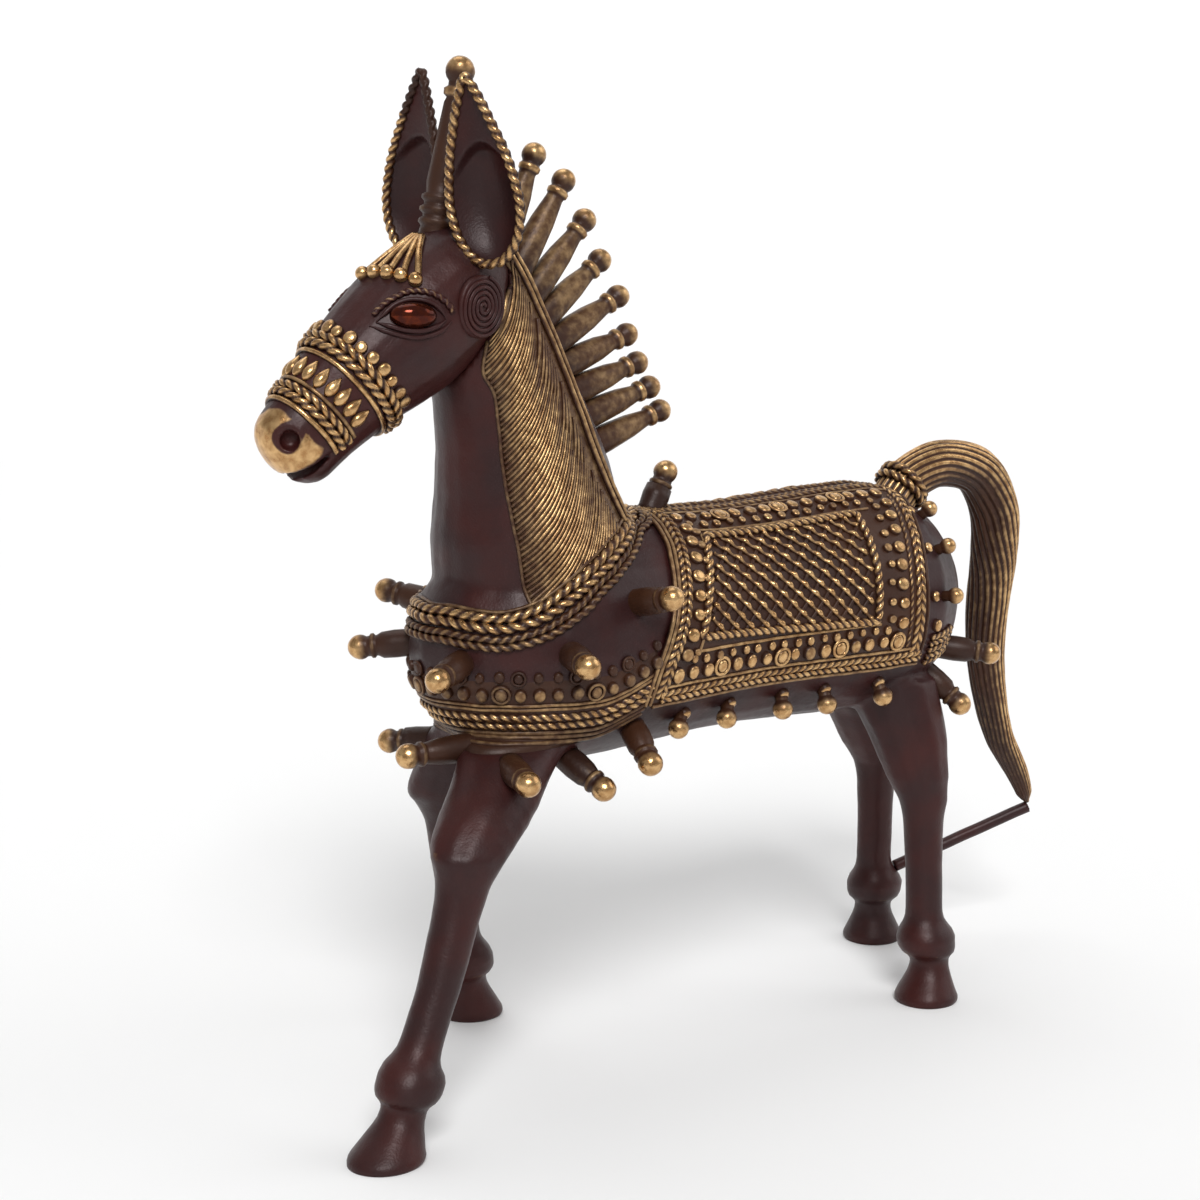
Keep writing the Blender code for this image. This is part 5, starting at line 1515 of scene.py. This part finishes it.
def drop(heap, spot, normal):
    """Teardrop lying along the head, pointed toward the poll."""
    along = (HEAD_BACK - HEAD_BACK.dot(normal) * normal).normalized()
    outs = circle(normal.cross(along), DROP_FLAT * normal, DROP_SIDES)
    rows = []
    for t in steps(0.02, 0.98, DROP_ROWS):
        half = DROP_HALF * math.sin(math.pi * t**0.75)
        middle = spot + MM * (DROP_LENGTH * (t - 0.5) * along + DROP_LIFT * normal)
        rows.append([middle + MM * half * out for out in outs])
    shine = 0.3 + 0.7 * np.maximum(0.0, np.sin(turns_of(DROP_SIDES)))
    heap.tube(np.array(rows), np.tile(shine, (DROP_ROWS, 1)))


def make_upper_noseband():
    """Beads, a braid and a wire round the muzzle, and a row of drops below them."""
    heap = Heap()
    beads_along(heap, head_loop(36.4, 128), 4.2, 2.15, 1.6, 1.0, 0.1)
    braid(heap, head_loop(32.4, 180), 1.45, 3.3, 0.7, 1.0)
    wire(heap, head_loop(28.6, 180), 0.75, 0.4, 0.75)
    track = head_loop(DROP_ALONG, 118)
    for k in range(DROP_COUNT):
        index = int(round((len(track.p) - 1) * (k + 0.5) / DROP_COUNT))
        drop(heap, Vector(track.p[index]), Vector(track.n[index]))
    heap.piece("noseband_upper_rows", WORN, "bright_brass", "noseband_upper")


def make_lower_noseband():
    """Braid between wires round the nose."""
    heap = Heap()
    wire(heap, head_loop(19.3, 126), 0.65, 0.3, 0.45)
    braid(heap, head_loop(16.0, 126), 1.3, 3.0, 0.6, 1.0)
    wire(heap, head_loop(12.6, 126), 0.8, 0.4, 0.8)
    heap.piece("noseband_lower_rows", WORN, "bright_brass", "noseband_lower")


# Stage, in metres

FLOOR_WIDTH = 8.0
FLOOR_FRONT = 3.0
BACKDROP_DISTANCE = 1.6
BACKDROP_ROUND = 0.7
BACKDROP_HEIGHT = 2.5
PALE = (0.88, 0.88, 0.88, 1.0)
CAMERA_TURN = math.radians(-37)
CAMERA_RISE = math.radians(10)
CAMERA_TARGET = at(-23.0, 20.5, 136.0)
CAMERA_DISTANCE = 755.8 * MM
CAMERA_LENS = 72.0  # in mm, as is the sensor
CAMERA_SENSOR = 36.0
ROOM_LIGHT = 0.4
# Lamps: name, direction of the light, strength, how wide the lamp looks in degrees
LAMPS = (
    ("key", (0.45, 0.75, -0.8), 2.0, 22),
    ("fill", (-0.9, 0.5, -0.6), 0.5, 40),
    ("top", (-0.1, -0.4, -1.0), 0.5, 40),
)


def make_floor():
    """Pale floor that keeps the shadow and curves up into a backdrop behind the horse."""
    away = Vector((-math.sin(CAMERA_TURN), math.cos(CAMERA_TURN), 0))
    across = Vector((away.y, -away.x, 0))
    rows = [(-FLOOR_FRONT, 0.0), (BACKDROP_DISTANCE, 0.0)]
    for turn in steps(0, math.pi / 2, 24)[1:]:
        run = BACKDROP_DISTANCE + BACKDROP_ROUND * math.sin(turn)
        rows.append((run, BACKDROP_ROUND * (1 - math.cos(turn))))
    rows.append((BACKDROP_DISTANCE + BACKDROP_ROUND, BACKDROP_HEIGHT))
    points = []
    for run, height in rows:
        for half in (-FLOOR_WIDTH / 2, FLOOR_WIDTH / 2):
            points.append(run * away + half * across + Vector((0, 0, height)))
    faces = [(2 * k, 2 * k + 1, 2 * k + 3, 2 * k + 2) for k in range(len(rows) - 1)]
    mesh = bpy.data.meshes.new("floor")
    mesh.from_pydata(points, [], faces)
    for face in mesh.polygons:
        face.use_smooth = True
    floor = bpy.data.objects.new("floor", mesh)
    bpy.context.scene.collection.objects.link(floor)
    material = bpy.data.materials.new("pale_floor")
    material.use_nodes = True
    shader = material.node_tree.nodes["Principled BSDF"]
    for name, value in (("Base Color", PALE), ("Roughness", 0.8), ("Specular IOR Level", 0.0)):
        shader.inputs[name].default_value = value
    mesh.materials.append(material)


def make_light():
    """Soft light of the room, and three soft lamps."""
    world = bpy.data.worlds.new("studio")
    bpy.context.scene.world = world
    world.use_nodes = True
    back = world.node_tree.nodes["Background"]
    back.inputs["Color"].default_value = (1.0, 1.0, 1.0, 1.0)
    back.inputs["Strength"].default_value = ROOM_LIGHT
    for name, toward, power, spread in LAMPS:
        lamp = bpy.data.lights.new(name, "SUN")
        lamp.energy = power
        lamp.angle = math.radians(spread)
        holder = bpy.data.objects.new(name, lamp)
        holder.rotation_mode = "QUATERNION"
        holder.rotation_quaternion = Vector(toward).to_track_quat("-Z", "Y")
        bpy.context.scene.collection.objects.link(holder)


def make_camera():
    """Camera where the photographer stood."""
    level = Vector((math.sin(CAMERA_TURN), -math.cos(CAMERA_TURN), 0))
    back = math.cos(CAMERA_RISE) * level + Vector((0, 0, math.sin(CAMERA_RISE)))
    lens = bpy.data.cameras.new("camera")
    lens.lens = CAMERA_LENS
    lens.sensor_width = CAMERA_SENSOR
    camera = bpy.data.objects.new("camera", lens)
    camera.location = CAMERA_TARGET + CAMERA_DISTANCE * back
    camera.rotation_mode = "QUATERNION"
    camera.rotation_quaternion = (-back).to_track_quat("-Z", "Y")
    bpy.context.scene.collection.objects.link(camera)
    bpy.context.scene.camera = camera


PAIRED = (make_blanket_borders, make_blanket_beads, make_lattice, make_mane, make_fringe, make_rear_fringe,
          make_ear, make_eye, make_cheek)
SINGLE = (make_collar, make_breast_band, make_pegs, make_spikes, make_tail, make_tail_ring, make_brace,
          make_fan, make_crest, make_upper_noseband, make_lower_noseband, make_floor, make_light, make_camera)

make_blanket_ground()
for side_name, side_sign in SIDES:
    for make in PAIRED:
        make(side_name, side_sign)
for make in SINGLE:
    make()
bpy.context.scene.view_settings.view_transform = "Standard"
